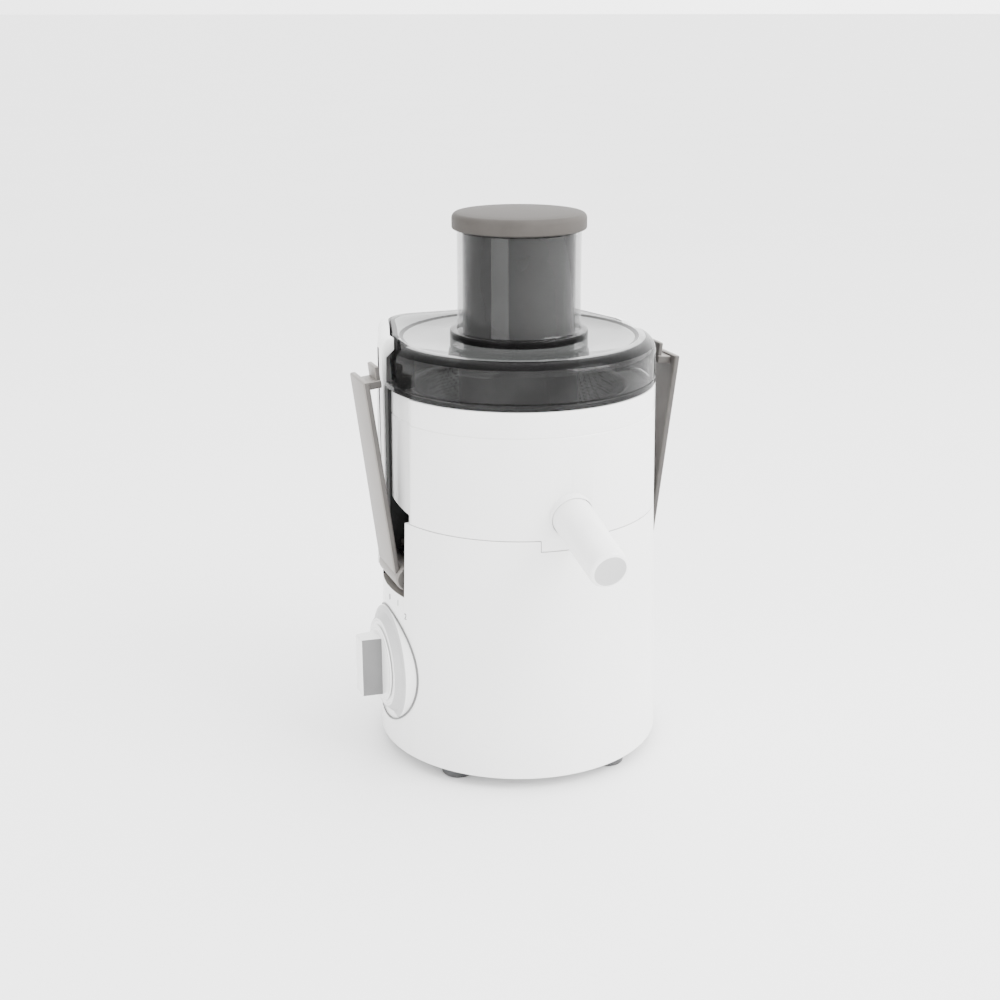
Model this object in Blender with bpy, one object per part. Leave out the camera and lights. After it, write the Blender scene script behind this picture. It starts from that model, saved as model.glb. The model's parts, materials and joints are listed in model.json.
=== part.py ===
"""A compact centrifugal juicer, as an assembly of the pieces it comes apart into.

Lengths are in millimetres and are turned into metres where a mesh is made. The motor's axis is the
local Z axis, the floor is Z = 0, the spout faces -Y and the speed knob faces -X.
"""
import math

import bmesh
import bpy
from mathutils import Matrix, Vector

MM = 0.001

# Driving dimensions
FOOT_HEIGHT = 7.0
BODY_RADIUS = 82.0
SEAM_RADIUS = 77.9
RIM_RADIUS = 76.75
BASE_HEIGHT = 138.4
BOWL_HEIGHT = 70.1
LID_HEIGHT = 25.8
TUBE_RADIUS = 34.3
TUBE_RISE = 58.4
WALL = 3.0
GAP = 0.3

# Levels above the floor
BASE_Z = FOOT_HEIGHT
SEAM_Z = BASE_Z + BASE_HEIGHT
RIM_Z = SEAM_Z + BOWL_HEIGHT
LID_Z = RIM_Z + LID_HEIGHT
CAP_Z = LID_Z + TUBE_RISE
SHELF_Z = BASE_Z + 98.0
HINGE_SHELF_Z = SHELF_Z + 14.0

# The parting between the front of the bowl and the pulp container, along Y
SHELL_END_Y = 4.0
CONTAINER_Y = 11.0
HINGE_BLOCK_Y = 27.0

# Pulp container outline: the body's circle, run into two corner circles at the back
CONTAINER_PROUD = 2.3
CORNER_X = 39.5
CORNER_Y = 61.0
CORNER_RADIUS = 23.5
SIDE_FLAT_X = 76.2
SIDE_FLAT_Y = 22.5
CONTAINER_RIM = 7.0
CUP_RADIUS = 60.0
CUP_WALL = 2.2

# Latches
HINGE_X = 72.6
HINGE_Z = BASE_Z + 103.5
BARREL_RADIUS = 6.5
PIN_RADIUS = 1.5
POCKET_HALF = 20.5
PIN_HALF = POCKET_HALF + 1.3
POCKET_X = 65.0
POCKET_Z = HINGE_Z - 9.5
LATCH_X = 80.6
LATCH_THICK = 3.5
LATCH_TOP_Z = 218.0
LATCH_OPEN = 7.0
HOOK_Z = 219.7
LEDGE_Z = 219.3
NOTCH_X = 67.5
NOTCH_FRONT = -12.0
NOTCH_BACK = 10.0

# The safety switch behind the left latch, and the cord's way out at the back
PLUNGER_Y = 0.0
PLUNGER_Z = HINGE_Z + 16.0
CORD_Z = 32.0

# Spout
SPOUT_ROOT = Vector((0.0, -77.5, 158.0))
SPOUT_SLOPE = math.radians(16.0)
SPOUT_LENGTH = 51.0
SPOUT_RADIUS = 11.4

# Speed control on the -X side
DIAL_Z = BASE_Z + 47.6
DIAL_RADIUS = 33.0
KNOB_RADIUS = 22.0
KNOB_BACK_X = 85.0
KNOB_FACE_X = 86.2
GRIP_END_X = 98.4
GRIP_HEIGHT = 35.0
GRIP_THICK = 14.0

# Drive line
SHAFT_RADIUS = 3.0
TOWER_RADIUS = 12.8
TOWER_Z = 156.0
COUPLING_Z = 157.0
COUPLING_TOP = 171.0
BASKET_Z = 164.0

FEET = (-51.0, 27.0, 129.0, 207.0)
FOOT_CIRCLE = 69.0
FOOT_RADIUS = 9.5

ROUND = 48

PLASTIC_WHITE = (0.83, 0.83, 0.82)
PLASTIC_GREY = (0.33, 0.31, 0.29)
LATCH_GREY = (0.52, 0.49, 0.46)
SMOKE = (0.09, 0.09, 0.09)
RUBBER = (0.16, 0.16, 0.16)
STEEL = (0.62, 0.62, 0.63)
IRON = (0.28, 0.29, 0.31)
COPPER = (0.72, 0.36, 0.18)
BLACK = (0.04, 0.04, 0.04)


# ---------------------------------------------------------------- helpers

def clear_scene():
    for obj in list(bpy.data.objects):
        bpy.data.objects.remove(obj, do_unlink=True)


def plastic(name, colour, roughness=0.35, metallic=0.0, alpha=1.0):
    material = bpy.data.materials.new(name)
    material.use_nodes = True
    shader = material.node_tree.nodes["Principled BSDF"]
    shader.inputs["Base Color"].default_value = (*colour, 1.0)
    shader.inputs["Roughness"].default_value = roughness
    shader.inputs["Metallic"].default_value = metallic
    shader.inputs["Alpha"].default_value = alpha
    material.diffuse_color = (*colour, alpha)
    return material


def make_object(name, bm, smooth=True):
    """Turns a bmesh in millimetres into an object in metres."""
    bmesh.ops.triangulate(bm, faces=[face for face in bm.faces if len(face.verts) == 4])
    bmesh.ops.scale(bm, vec=(MM, MM, MM), verts=bm.verts)
    mesh = bpy.data.meshes.new(name)
    bm.to_mesh(mesh)
    bm.free()
    if smooth:
        mesh.shade_smooth()
        mesh.set_sharp_from_angle(angle=math.radians(35.0))
    obj = bpy.data.objects.new(name, mesh)
    bpy.context.scene.collection.objects.link(obj)
    return obj


def combine(target, tool, operation="DIFFERENCE"):
    """Runs one Boolean and keeps its result in the target's own mesh."""
    modifier = target.modifiers.new("cut", "BOOLEAN")
    modifier.operation = operation
    modifier.solver = "EXACT"
    modifier.object = tool
    bpy.context.view_layer.update()
    graph = bpy.context.evaluated_depsgraph_get()
    mesh = bpy.data.meshes.new_from_object(target.evaluated_get(graph))
    target.modifiers.clear()
    target.data = mesh
    bpy.data.objects.remove(tool, do_unlink=True)
    return target


def body_radius(z):
    """Outer radius of the tapered white body at a height above the floor."""
    if z <= SEAM_Z:
        return BODY_RADIUS - (BODY_RADIUS - SEAM_RADIUS) * (z - BASE_Z) / BASE_HEIGHT
    return SEAM_RADIUS - (SEAM_RADIUS - RIM_RADIUS) * (z - SEAM_Z) / BOWL_HEIGHT


def round_angles(count=ROUND, extra=()):
    step = 360.0 / count
    angles = {round(i * step, 4) for i in range(count)}
    angles.update(round(a % 360.0, 4) for a in extra)
    return sorted(angles)


def ring_solid(name, rings, angles=None, closed=False):
    """Skins rings of (radius, z). A radius may be a function of the angle in degrees.

    A closed solid has a hole down its middle: its last ring joins its first. An open one is
    capped at both ends.
    """
    angles = angles or round_angles()
    bm = bmesh.new()
    loops = []
    for radius, z in rings:
        loop = []
        for angle in angles:
            reach = radius(angle) if callable(radius) else radius
            turn = math.radians(angle)
            loop.append(bm.verts.new((reach * math.cos(turn), reach * math.sin(turn), z)))
        loops.append(loop)
    pairs = list(zip(loops, loops[1:]))
    if closed:
        pairs.append((loops[-1], loops[0]))
    else:
        bm.faces.new(loops[0])
        bm.faces.new(loops[-1])
    for lower, upper in pairs:
        for i in range(len(angles)):
            j = (i + 1) % len(angles)
            bm.faces.new((lower[i], lower[j], upper[j], upper[i]))
    bmesh.ops.recalc_face_normals(bm, faces=bm.faces)
    return make_object(name, bm)


def box(name, low, high):
    bm = bmesh.new()
    bmesh.ops.create_cube(bm, size=1.0)
    size = [h - l for l, h in zip(low, high)]
    centre = [(h + l) / 2 for l, h in zip(low, high)]
    bmesh.ops.scale(bm, vec=size, verts=bm.verts)
    bmesh.ops.translate(bm, vec=centre, verts=bm.verts)
    return make_object(name, bm, smooth=False)


def prism(name, outline, z_low, z_high):
    """An upright solid on a closed outline of (x, y) points, given anticlockwise."""
    bm = bmesh.new()
    lower = [bm.verts.new((x, y, z_low)) for x, y in outline]
    upper = [bm.verts.new((x, y, z_high)) for x, y in outline]
    bm.faces.new(reversed(lower))
    bm.faces.new(upper)
    for i in range(len(outline)):
        j = (i + 1) % len(outline)
        bm.faces.new((lower[i], lower[j], upper[j], upper[i]))
    return make_object(name, bm)


def turn_mesh(obj, matrix):
    """Moves an object's mesh, in millimetres, and leaves the object where it is."""
    to_metres = Matrix.Diagonal((MM, MM, MM, 1.0))
    to_mm = Matrix.Diagonal((1 / MM, 1 / MM, 1 / MM, 1.0))
    obj.data.transform(to_metres @ matrix @ to_mm)
    return obj


def cylinder(name, radius, z_low, z_high, count=32, at=(0.0, 0.0), top_radius=None):
    top = radius if top_radius is None else top_radius
    obj = ring_solid(name, [(radius, z_low), (top, z_high)], round_angles(count))
    return turn_mesh(obj, Matrix.Translation((at[0], at[1], 0.0)))


def tube(name, inner, outer, z_low, z_high, count=40):
    rings = [(outer, z_low), (outer, z_high), (inner, z_high), (inner, z_low)]
    return ring_solid(name, rings, round_angles(count), closed=True)


def along_x(obj, x, y, z, sign=1):
    """Lays an upright mesh down so that its local +Z points to +X or -X at a place."""
    tip = Matrix.Rotation(math.radians(90.0 * sign), 4, "Y")
    return turn_mesh(obj, Matrix.Translation((x, y, z)) @ tip)


def along_y(obj, x, y, z):
    """Lays an upright mesh down so that its local +Z points to -Y at a place."""
    tip = Matrix.Rotation(math.radians(90.0), 4, "X")
    return turn_mesh(obj, Matrix.Translation((x, y, z)) @ tip)


def on_pivot(obj, pivot):
    """Puts the object's origin on a pivot without moving its mesh in space."""
    pivot = Vector(pivot)
    turn_mesh(obj, Matrix.Translation(-pivot))
    obj.location = pivot * MM
    return obj


def mirrored(obj, name):
    """A copy on the other side of the YZ plane, with its faces turned back out."""
    bm = bmesh.new()
    bm.from_mesh(obj.data)
    bmesh.ops.scale(bm, vec=(-1.0, 1.0, 1.0), verts=bm.verts)
    bmesh.ops.reverse_faces(bm, faces=bm.faces)
    mesh = bpy.data.meshes.new(name)
    bm.to_mesh(mesh)
    bm.free()
    copy = bpy.data.objects.new(name, mesh)
    bpy.context.scene.collection.objects.link(copy)
    copy.location = (-obj.location.x, obj.location.y, obj.location.z)
    copy.rotation_euler = (obj.rotation_euler.x, -obj.rotation_euler.y, 0.0)
    return copy


def spout_frame():
    """Takes local +Z to the spout's axis, out and down from the front of the bowl."""
    direction = Vector((0.0, -math.cos(SPOUT_SLOPE), -math.sin(SPOUT_SLOPE)))
    turn = Vector((0.0, 0.0, 1.0)).rotation_difference(direction).to_matrix().to_4x4()
    return Matrix.Translation(SPOUT_ROOT) @ turn


def behind(name, inner_radius, front_y, z_low, z_high):
    """The space behind a plane that lies outside a round tower: a cutter."""
    reach = 130.0
    slab = box(name, (-reach, front_y, z_low), (reach, reach, z_high))
    return combine(slab, cylinder("tower", inner_radius, z_low - 5.0, z_high + 5.0, ROUND))


# ---------------------------------------------------------------- outlines

def container_outline(angle):
    """Outer radius of the pulp container at mid height, in a direction from the axis."""
    turn = math.radians(angle)
    across = abs(math.cos(turn))
    back = math.sin(turn)
    reach = RIM_RADIUS + CONTAINER_PROUD
    if back > 0.0:
        along = CORNER_X * across + CORNER_Y * back
        off_square = CORNER_X ** 2 + CORNER_Y ** 2 - along ** 2
        if off_square < CORNER_RADIUS ** 2:
            reach = max(reach, along + math.sqrt(CORNER_RADIUS ** 2 - off_square))
        corner_angle = math.degrees(math.atan2(CORNER_Y + CORNER_RADIUS, CORNER_X))
        direction = math.degrees(math.atan2(back, across))
        if direction > corner_angle:
            reach = max(reach, (CORNER_Y + CORNER_RADIUS) / back)
        flank = flank_line(across, back)
        reach = max(reach, flank)
    return reach


def flank_line(across, back):
    """The straight flank that touches both the body's circle and a corner circle."""
    big = RIM_RADIUS + CONTAINER_PROUD
    distance = math.hypot(CORNER_X, CORNER_Y)
    lean = math.asin((CORNER_RADIUS - big) / distance)
    normal = math.atan2(CORNER_Y, CORNER_X) - math.pi / 2 - lean
    facing = across * math.cos(normal) + back * math.sin(normal)
    start = math.degrees(normal)
    end_x = CORNER_X + CORNER_RADIUS * math.cos(normal)
    end_y = CORNER_Y + CORNER_RADIUS * math.sin(normal)
    end = math.degrees(math.atan2(end_y, end_x))
    direction = math.degrees(math.atan2(back, across))
    if facing <= 0.0 or not start <= direction <= end:
        return 0.0
    return big / facing


def side_distance(angle, radius=RIM_RADIUS):
    """Distance along Y from the side plane, negative towards the front."""
    return radius * math.sin(math.radians(angle))


def shell_radius(z):
    """The bowl's outside: round, with a shallow sunk band behind each latch."""
    depth = 2.0
    band_start = 20.5
    band_end = 25.0

    def radius(angle):
        y = -side_distance(angle)
        if y >= band_end:
            return body_radius(z)
        share = min(1.0, (band_end - y) / (band_end - band_start))
        return body_radius(z) - depth * share * share * (3.0 - 2.0 * share)

    return radius


def less(function, amount):
    return lambda angle: function(angle) - amount


def lid_radius(front, inset, notched):
    """The lid's outline: round in front, and inside the container's rim behind."""
    def radius(angle):
        y = side_distance(angle)
        reach = front if y < SHELL_END_Y + 0.1 else container_radius(CONTAINER_RIM + 0.5)(angle)
        across = abs(math.cos(math.radians(angle)))
        if notched and NOTCH_FRONT < y < NOTCH_BACK:
            reach = min(reach, NOTCH_X / across)
        return reach - inset

    return radius


def side_angles(*distances):
    """Angles, on both flanks, at which the rim's circle is at these distances along Y."""
    angles = []
    for distance in distances:
        turn = math.degrees(math.asin(distance / RIM_RADIUS))
        angles += [turn, 180.0 - turn]
    return angles


# ---------------------------------------------------------------- base

def base_housing():
    top = SEAM_Z - GAP
    base = ring_solid("base_housing", [(body_radius(BASE_Z), BASE_Z), (body_radius(top), top)])
    hollow = ring_solid("hollow", [
        (body_radius(BASE_Z) - WALL, BASE_Z - 5.0),
        (body_radius(top) - WALL, top - WALL),
    ])
    tower = CUP_RADIUS + CUP_WALL
    steps = ((0.0, CONTAINER_Y - 0.6, HINGE_SHELF_Z - GAP, 160.0),
             (0.3, HINGE_BLOCK_Y - 0.6, SHELF_Z - GAP, HINGE_SHELF_Z + 2.0))
    for thicker, front, level, high in steps:
        combine(base, behind("rear", tower + thicker, front, level, high))
        inner = tower + thicker - WALL
        combine(hollow, behind("rear", inner, front - WALL, level - WALL, high + 3.0 + thicker))
    for side in (-1, 1):
        base = combine(base, latch_pocket(side, 0.0))
        hollow = combine(hollow, latch_pocket(side, 2.2))
    combine(base, hollow)
    combine(base, cylinder("tower", TOWER_RADIUS, top - 1.0, TOWER_Z, 36), "UNION")
    combine(base, cylinder("bore", 9.0, top - 10.0, TOWER_Z + 5.0, 36))
    combine(base, tab_notch())
    for side in (-1, 1):
        pin_hole = cylinder("pin_hole", PIN_RADIUS + GAP, -PIN_HALF - GAP, PIN_HALF + GAP, 20)
        combine(base, along_y(pin_hole, side * HINGE_X, 0.0, HINGE_Z))
    combine(base, along_x(cylinder("knob_hole", 4.3, 60.0, 95.0, 24), 0.0, 0.0, DIAL_Z, -1))
    cord_hole = cylinder("cord_hole", 6.3, 60.0, 95.0, 24)
    combine(base, turn_mesh(cord_hole, cord_matrix()))
    plunger_hole = cylinder("plunger_hole", 2.3, 50.0, 75.0, 20)
    combine(base, along_x(plunger_hole, 0.0, PLUNGER_Y, PLUNGER_Z, -1))
    return base


def cord_matrix():
    """Takes local +Z to a line straight out of the back of the base."""
    tip = Matrix.Rotation(math.radians(-90.0), 4, "X")
    return Matrix.Translation((0.0, 0.0, CORD_Z)) @ tip


def latch_pocket(side, skin):
    """The pocket that a latch's lower end sits in, or that pocket with its walls' thickness."""
    near = POCKET_X - skin
    low = (side * near if side > 0 else -100.0, -POCKET_HALF - skin, POCKET_Z - skin)
    high = (100.0 if side > 0 else side * near, POCKET_HALF + skin, 170.0)
    return box("pocket", low, high)


def tab_sector(name, half_angle, inner, outer, z_low, z_high):
    """A piece of ring, centred on the front."""
    steps = 8
    start = 270.0 - half_angle
    angles = [math.radians(start + 2 * half_angle * i / steps) for i in range(steps + 1)]
    outline = [(outer * math.cos(a), outer * math.sin(a)) for a in angles]
    outline += [(inner * math.cos(a), inner * math.sin(a)) for a in reversed(angles)]
    return prism(name, outline, z_low, z_high)


def tab_notch():
    return tab_sector("notch", 12.7, SEAM_RADIUS - 2.2, BODY_RADIUS + 3.0, SEAM_Z - 6.4, SEAM_Z + 3.0)


def base_plate():
    plate = tube("base_plate", 6.0, 77.4, 10.0, 12.5, 36)
    for i in range(6):
        angle = math.radians(60.0 * i)
        slot = box("slot", (20.0, -2.0, 5.0), (44.0, 2.0, 20.0))
        combine(plate, turn_mesh(slot, Matrix.Rotation(angle, 4, "Z")))
    return plate


def foot(index, angle):
    turn = math.radians(angle - 90.0)
    at = (FOOT_CIRCLE * math.cos(turn), FOOT_CIRCLE * math.sin(turn))
    rings = [(FOOT_RADIUS - 1.6, 0.0), (FOOT_RADIUS - 0.4, 1.2), (FOOT_RADIUS, 6.0), (FOOT_RADIUS, 9.7)]
    obj = ring_solid(f"foot_{index}", rings, round_angles(16))
    return turn_mesh(obj, Matrix.Translation((*at, 0.0)))


def base_screw(index, angle):
    """One of the screws that hold the base plate."""
    turn = math.radians(angle - 90.0 + 39.0)
    at = (58.0 * math.cos(turn), 58.0 * math.sin(turn))
    rings = [(3.2, 8.2), (3.2, 9.6), (1.3, 9.7)]
    obj = ring_solid(f"base_screw_{index}", rings, round_angles(12))
    return turn_mesh(obj, Matrix.Translation((*at, 0.0)))


def cord_inlet_bush():
    wall = body_radius(CORD_Z)
    rings = [
        (5.9, wall - 4.4), (5.9, wall + 0.5), (8.4, wall + 0.5), (7.4, wall + 2.6),
        (3.6, wall + 2.6), (3.6, wall - 8.0), (8.0, wall - 8.0), (8.0, wall - 4.4),
    ]
    obj = ring_solid("cord_inlet_bush", rings, round_angles(16), closed=True)
    return turn_mesh(obj, cord_matrix())


# ---------------------------------------------------------------- motor

def motor_parts():
    made = {}
    made["motor_stator"] = motor_stator()
    made["field_coil_left"] = field_coil("field_coil_left", -1)
    made["field_coil_right"] = field_coil("field_coil_right", 1)
    made["armature_core"] = armature_core()
    made["commutator"] = tube("commutator", SHAFT_RADIUS + GAP, 10.0, 86.0, 97.0, 24)
    made["motor_shaft"] = cylinder("motor_shaft", SHAFT_RADIUS, 17.0, COUPLING_TOP - 2.0, 24)
    made["cooling_fan"] = cooling_fan()
    made["lower_bearing"] = tube("lower_bearing", SHAFT_RADIUS + GAP, 8.0, 36.0, 40.0, 14)
    made["upper_bearing"] = tube("upper_bearing", SHAFT_RADIUS + GAP, 8.0, 103.0, 108.0, 14)
    made["lower_bracket"] = bracket("lower_bracket", 35.0, 41.0)
    made["upper_bracket"] = bracket("upper_bracket", 102.0, 109.0)
    for name, side in (("left", -1), ("right", 1)):
        made[f"brush_holder_{name}"] = brush_holder(name, side)
        made[f"carbon_brush_{name}"] = box_on_side(f"carbon_brush_{name}", side, 10.5, 22.0, 2.2, 88.5, 94.5)
    made["motor_mount_front"] = motor_mount("motor_mount_front", -33.0)
    made["motor_mount_rear"] = motor_mount("motor_mount_rear", 33.0)
    made["shaft_seal"] = tube("shaft_seal", SHAFT_RADIUS + GAP, 8.6, 149.0, 153.0, 14)
    return made


def box_on_side(name, side, near, far, half, z_low, z_high):
    low_x, high_x = sorted((side * near, side * far))
    return box(name, (low_x, -half, z_low), (high_x, half, z_high))


def motor_stator():
    stator = tube("motor_stator", 19.6, 35.0, 47.0, 77.0, 28)
    for side in (-1, 1):
        for flank in (-1, 1):
            low_y, high_y = sorted((flank * 11.6, flank * 18.4))
            low_x, high_x = sorted((side * 10.0, side * 27.4))
            combine(stator, box("slot", (low_x, low_y, 40.0), (high_x, high_y, 90.0)))
    return stator


def field_coil(name, side):
    """A wound loop that stands round one pole of the stator."""
    coil = box_on_side(name, side, 21.5, 27.0, 18.0, 42.0, 82.0)
    return combine(coil, box_on_side("hole", side, 15.0, 35.0, 12.0, 46.0, 78.0))


def armature_core():
    core = tube("armature_core", SHAFT_RADIUS + GAP, 18.8, 48.0, 76.0, 24)
    for i in range(8):
        slot = box("slot", (15.5, -0.8, 40.0), (25.0, 0.8, 90.0))
        combine(core, turn_mesh(slot, Matrix.Rotation(math.radians(45.0 * i + 22.5), 4, "Z")))
    return core


def cooling_fan():
    fan = tube("cooling_fan", SHAFT_RADIUS + GAP, 30.0, 22.0, 23.6, 24)
    hub = tube("hub", SHAFT_RADIUS + GAP, 7.5, 22.0, 33.0, 12)
    combine(fan, hub, "UNION")
    for i in range(6):
        blade = box("blade", (6.5, -0.7, 23.0), (29.0, 0.7, 32.0))
        combine(fan, turn_mesh(blade, Matrix.Rotation(math.radians(60.0 * i + 6.0), 4, "Z")), "UNION")
    return fan


def bracket(name, z_low, z_high):
    """A cross bar that carries a bearing, with a seat for it in the middle."""
    plate = cylinder(name, 12.0, z_low, z_high, 20)
    combine(plate, box("bar", (-8.0, -40.0, z_low), (8.0, 40.0, z_low + 3.0)), "UNION")
    seat = 8.0 + GAP
    inside = (z_low + 0.7, z_high + 1.0)
    combine(plate, cylinder("seat", seat + 0.2, *inside, 14))
    return combine(plate, cylinder("hole", SHAFT_RADIUS + 1.0, z_low - 1.0, z_high + 1.0, 16))


def brush_holder(name, side):
    holder = box_on_side(f"brush_holder_{name}", side, 12.0, 28.0, 4.0, 86.6, 96.4)
    return combine(holder, box_on_side("slot", side, 5.0, 26.0, 2.5, 88.2, 94.8))


def motor_mount(name, y):
    """A post with rubber ends that hangs the motor's upper bracket from the base's deck."""
    rings = [(6.0, 105.4), (6.0, 112.0), (4.0, 114.0), (4.0, 134.0), (6.0, 136.0), (6.0, 141.7)]
    obj = ring_solid(name, rings, round_angles(16))
    return turn_mesh(obj, Matrix.Translation((0.0, y, 0.0)))


def drive_coupling():
    """The six-sided dog on top of the shaft that turns the basket."""
    def lobes(angle):
        return 8.6 + 0.9 * math.cos(math.radians(6.0 * angle))

    rings = [
        (lobes, COUPLING_Z), (lobes, COUPLING_TOP - 1.0), (less(lobes, 1.0), COUPLING_TOP),
        (SHAFT_RADIUS + GAP, COUPLING_TOP), (SHAFT_RADIUS + GAP, COUPLING_Z),
    ]
    return ring_solid("drive_coupling", rings, round_angles(18), closed=True)


# ---------------------------------------------------------------- controls

def dial_bezel():
    """The round stepped boss under the speed knob, fitted to the tapered wall."""
    front = KNOB_BACK_X - 0.4
    rings = [
        (DIAL_RADIUS, 60.0), (DIAL_RADIUS, 79.4), (DIAL_RADIUS - 3.2, 81.4), (KNOB_RADIUS + 4.0, front - 0.8),
        (KNOB_RADIUS + 3.0, front), (4.4, front), (4.4, 60.0),
    ]
    bezel = ring_solid("dial_bezel", rings, round_angles(32), closed=True)
    along_x(bezel, 0.0, 0.0, DIAL_Z, -1)
    low, high = BASE_Z - 2.0, SEAM_Z
    body = ring_solid("body", [(body_radius(low) + GAP, low), (body_radius(high) + GAP, high)])
    return combine(bezel, body)


def speed_knob():
    """A flat disc with an upright grip bar across it."""
    rings = [
        (KNOB_RADIUS - 0.8, KNOB_BACK_X), (KNOB_RADIUS, KNOB_BACK_X + 0.4),
        (KNOB_RADIUS - 0.6, KNOB_FACE_X),
    ]
    knob = along_x(ring_solid("speed_knob", rings, round_angles(36)), 0.0, 0.0, DIAL_Z, -1)
    half = GRIP_THICK / 2
    end = half - 1.3
    bar_outline = [
        (-GRIP_END_X, -end), (-KNOB_FACE_X + 0.6, -half), (-KNOB_FACE_X + 0.6, half), (-GRIP_END_X, end),
    ]
    tall = GRIP_HEIGHT / 2
    bar = prism("grip", bar_outline, DIAL_Z - tall, DIAL_Z + tall)
    combine(knob, bar, "UNION")
    return on_pivot(knob, (0.0, 0.0, DIAL_Z))


def knob_shaft():
    shaft = cylinder("knob_shaft", 3.2, 56.0, KNOB_BACK_X - GAP, 20)
    return on_pivot(along_x(shaft, 0.0, 0.0, DIAL_Z, -1), (0.0, 0.0, DIAL_Z))


def rotary_switch():
    switch = box("rotary_switch", (-72.0, -11.0, DIAL_Z - 12.0), (-52.0, 11.0, DIAL_Z + 12.0))
    return combine(switch, along_x(cylinder("hole", 3.6, 45.0, 80.0, 20), 0.0, 0.0, DIAL_Z, -1))


def interlock_switch():
    z = PLUNGER_Z
    switch = box("interlock_switch", (-57.0, -8.0, z - 6.0), (-47.0, 8.0, z + 6.0))
    return combine(switch, along_x(cylinder("hole", 2.4, 51.0, 70.0, 20), 0.0, PLUNGER_Y, z, -1))


def interlock_plunger():
    """A spring-loaded pin that the left latch pushes in when it shuts."""
    plunger = cylinder("interlock_plunger", 1.9, 54.0, 71.5, 20)
    return on_pivot(along_x(plunger, 0.0, PLUNGER_Y, PLUNGER_Z, -1), (-62.0, PLUNGER_Y, PLUNGER_Z))


# ---------------------------------------------------------------- bowl and basket

def juice_bowl():
    """A white front shell and the juice cup inside it, joined along their top."""
    low = SEAM_Z
    high = RIM_Z
    floor = 154.0
    shell_low = shell_radius(low)
    shell_high = shell_radius(high)
    rings = [
        (shell_low, low), (shell_high, high - 0.6), (less(shell_high, 0.6), high),
        (less(shell_high, 2.2), high), (less(shell_high, 2.4), high - 2.2),
        (CUP_RADIUS + 1.0, high - 2.2), (CUP_RADIUS, high - 3.2), (CUP_RADIUS, floor),
        (15.8, floor + 1.6), (15.8, 162.0), (13.3, 162.0), (13.3, floor - 2.6), (57.0, floor - 2.8),
        (CUP_RADIUS + 2.5, floor + 4.0), (CUP_RADIUS + 2.5, high - 4.8), (less(shell_high, 2.6), high - 4.8),
        (less(shell_low, 2.5), low),
    ]
    steps = side_angles(-25.0, -23.9, -22.75, -21.6, -20.5)
    bowl = ring_solid("juice_bowl", rings, round_angles(ROUND, steps), closed=True)
    combine(bowl, behind("rear", CUP_RADIUS + CUP_WALL, SHELL_END_Y, 100.0, 240.0))
    half = 12.4
    tab = tab_sector("tab", half, SEAM_RADIUS - 1.9, SEAM_RADIUS - 0.02, SEAM_Z - 6.0, SEAM_Z + 4.0)
    combine(bowl, tab, "UNION")
    for side in (-1, 1):
        combine(bowl, hinge_relief(side))
    hole = cylinder("hole", SPOUT_RADIUS + 0.4, -9.0, 12.0, 36)
    combine(bowl, turn_mesh(hole, spout_frame()))
    drain = cylinder("drain", 7.5, -25.0, -8.0, 28)
    combine(bowl, turn_mesh(drain, spout_frame()))
    return bowl


def hinge_relief(side):
    """The dark slanted opening low on each flank, where the latch's pocket runs up."""
    front = 0.4 - POCKET_HALF
    outline = [(front, SEAM_Z - 5.0), (12.0, SEAM_Z - 5.0), (12.0, SEAM_Z + 10.0), (-4.0, SEAM_Z + 10.0),
               (front, SEAM_Z + 3.6)]
    bm = bmesh.new()
    near, far = sorted((side * 68.0, side * 100.0))
    first = [bm.verts.new((near, y, z)) for y, z in outline]
    second = [bm.verts.new((far, y, z)) for y, z in outline]
    bm.faces.new(first)
    bm.faces.new(second)
    for i in range(len(outline)):
        j = (i + 1) % len(outline)
        bm.faces.new((first[i], first[j], second[j], second[i]))
    bmesh.ops.recalc_face_normals(bm, faces=bm.faces)
    return make_object("relief", bm, smooth=False)


def edge_seal(name, side):
    """The dark rubber strip between the bowl's shell and the pulp container."""
    low, high = sorted((side * 64.4, side * (SIDE_FLAT_X - 0.7)))
    return box(name, (low, SHELL_END_Y + GAP, SEAM_Z + 10.5), (high, CONTAINER_Y - 0.5, RIM_Z - 0.4))


def spout():
    """The spout turns on its own axis, so its outside is round; its mouth opens underneath."""
    start = -14.0
    end = SPOUT_LENGTH
    rings = [
        (SPOUT_RADIUS - 1.2, start), (SPOUT_RADIUS, start + 4.0), (SPOUT_RADIUS, 4.0),
        (SPOUT_RADIUS - 0.5, end - 2.4), (SPOUT_RADIUS - 1.2, end - 0.7), (SPOUT_RADIUS - 2.6, end),
        (1.0, end), (1.0, end - 2.0), (SPOUT_RADIUS - 2.6, end - 2.0),
        (SPOUT_RADIUS - 2.0, 4.0), (SPOUT_RADIUS - 3.0, start),
    ]
    obj = ring_solid("spout", rings, round_angles(24), closed=True)
    plug = cylinder("plug", 3.0, end - 1.9, end - 0.1, 20)
    combine(obj, plug, "UNION")
    turn_mesh(obj, spout_frame())
    tip = spout_frame() @ Vector((0.0, 0.0, end - 11.0))
    mouth = cylinder("mouth", 7.0, tip.z - 25.0, tip.z, 28, at=(tip.x, tip.y))
    combine(obj, mouth)
    return on_pivot(obj, SPOUT_ROOT)


def filter_basket():
    """The conical strainer, with a rolled rim."""
    top = RIM_Z - 3.2
    rings = [
        (14.3, BASKET_Z), (42.0, BASKET_Z), (56.6, top - 3.0), (58.8, top - 2.4), (58.8, top),
        (56.2, top), (55.6, top - 2.2), (40.8, BASKET_Z + 1.3), (14.3, BASKET_Z + 1.3),
    ]
    return ring_solid("filter_basket", rings, round_angles(40), closed=True)


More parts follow.
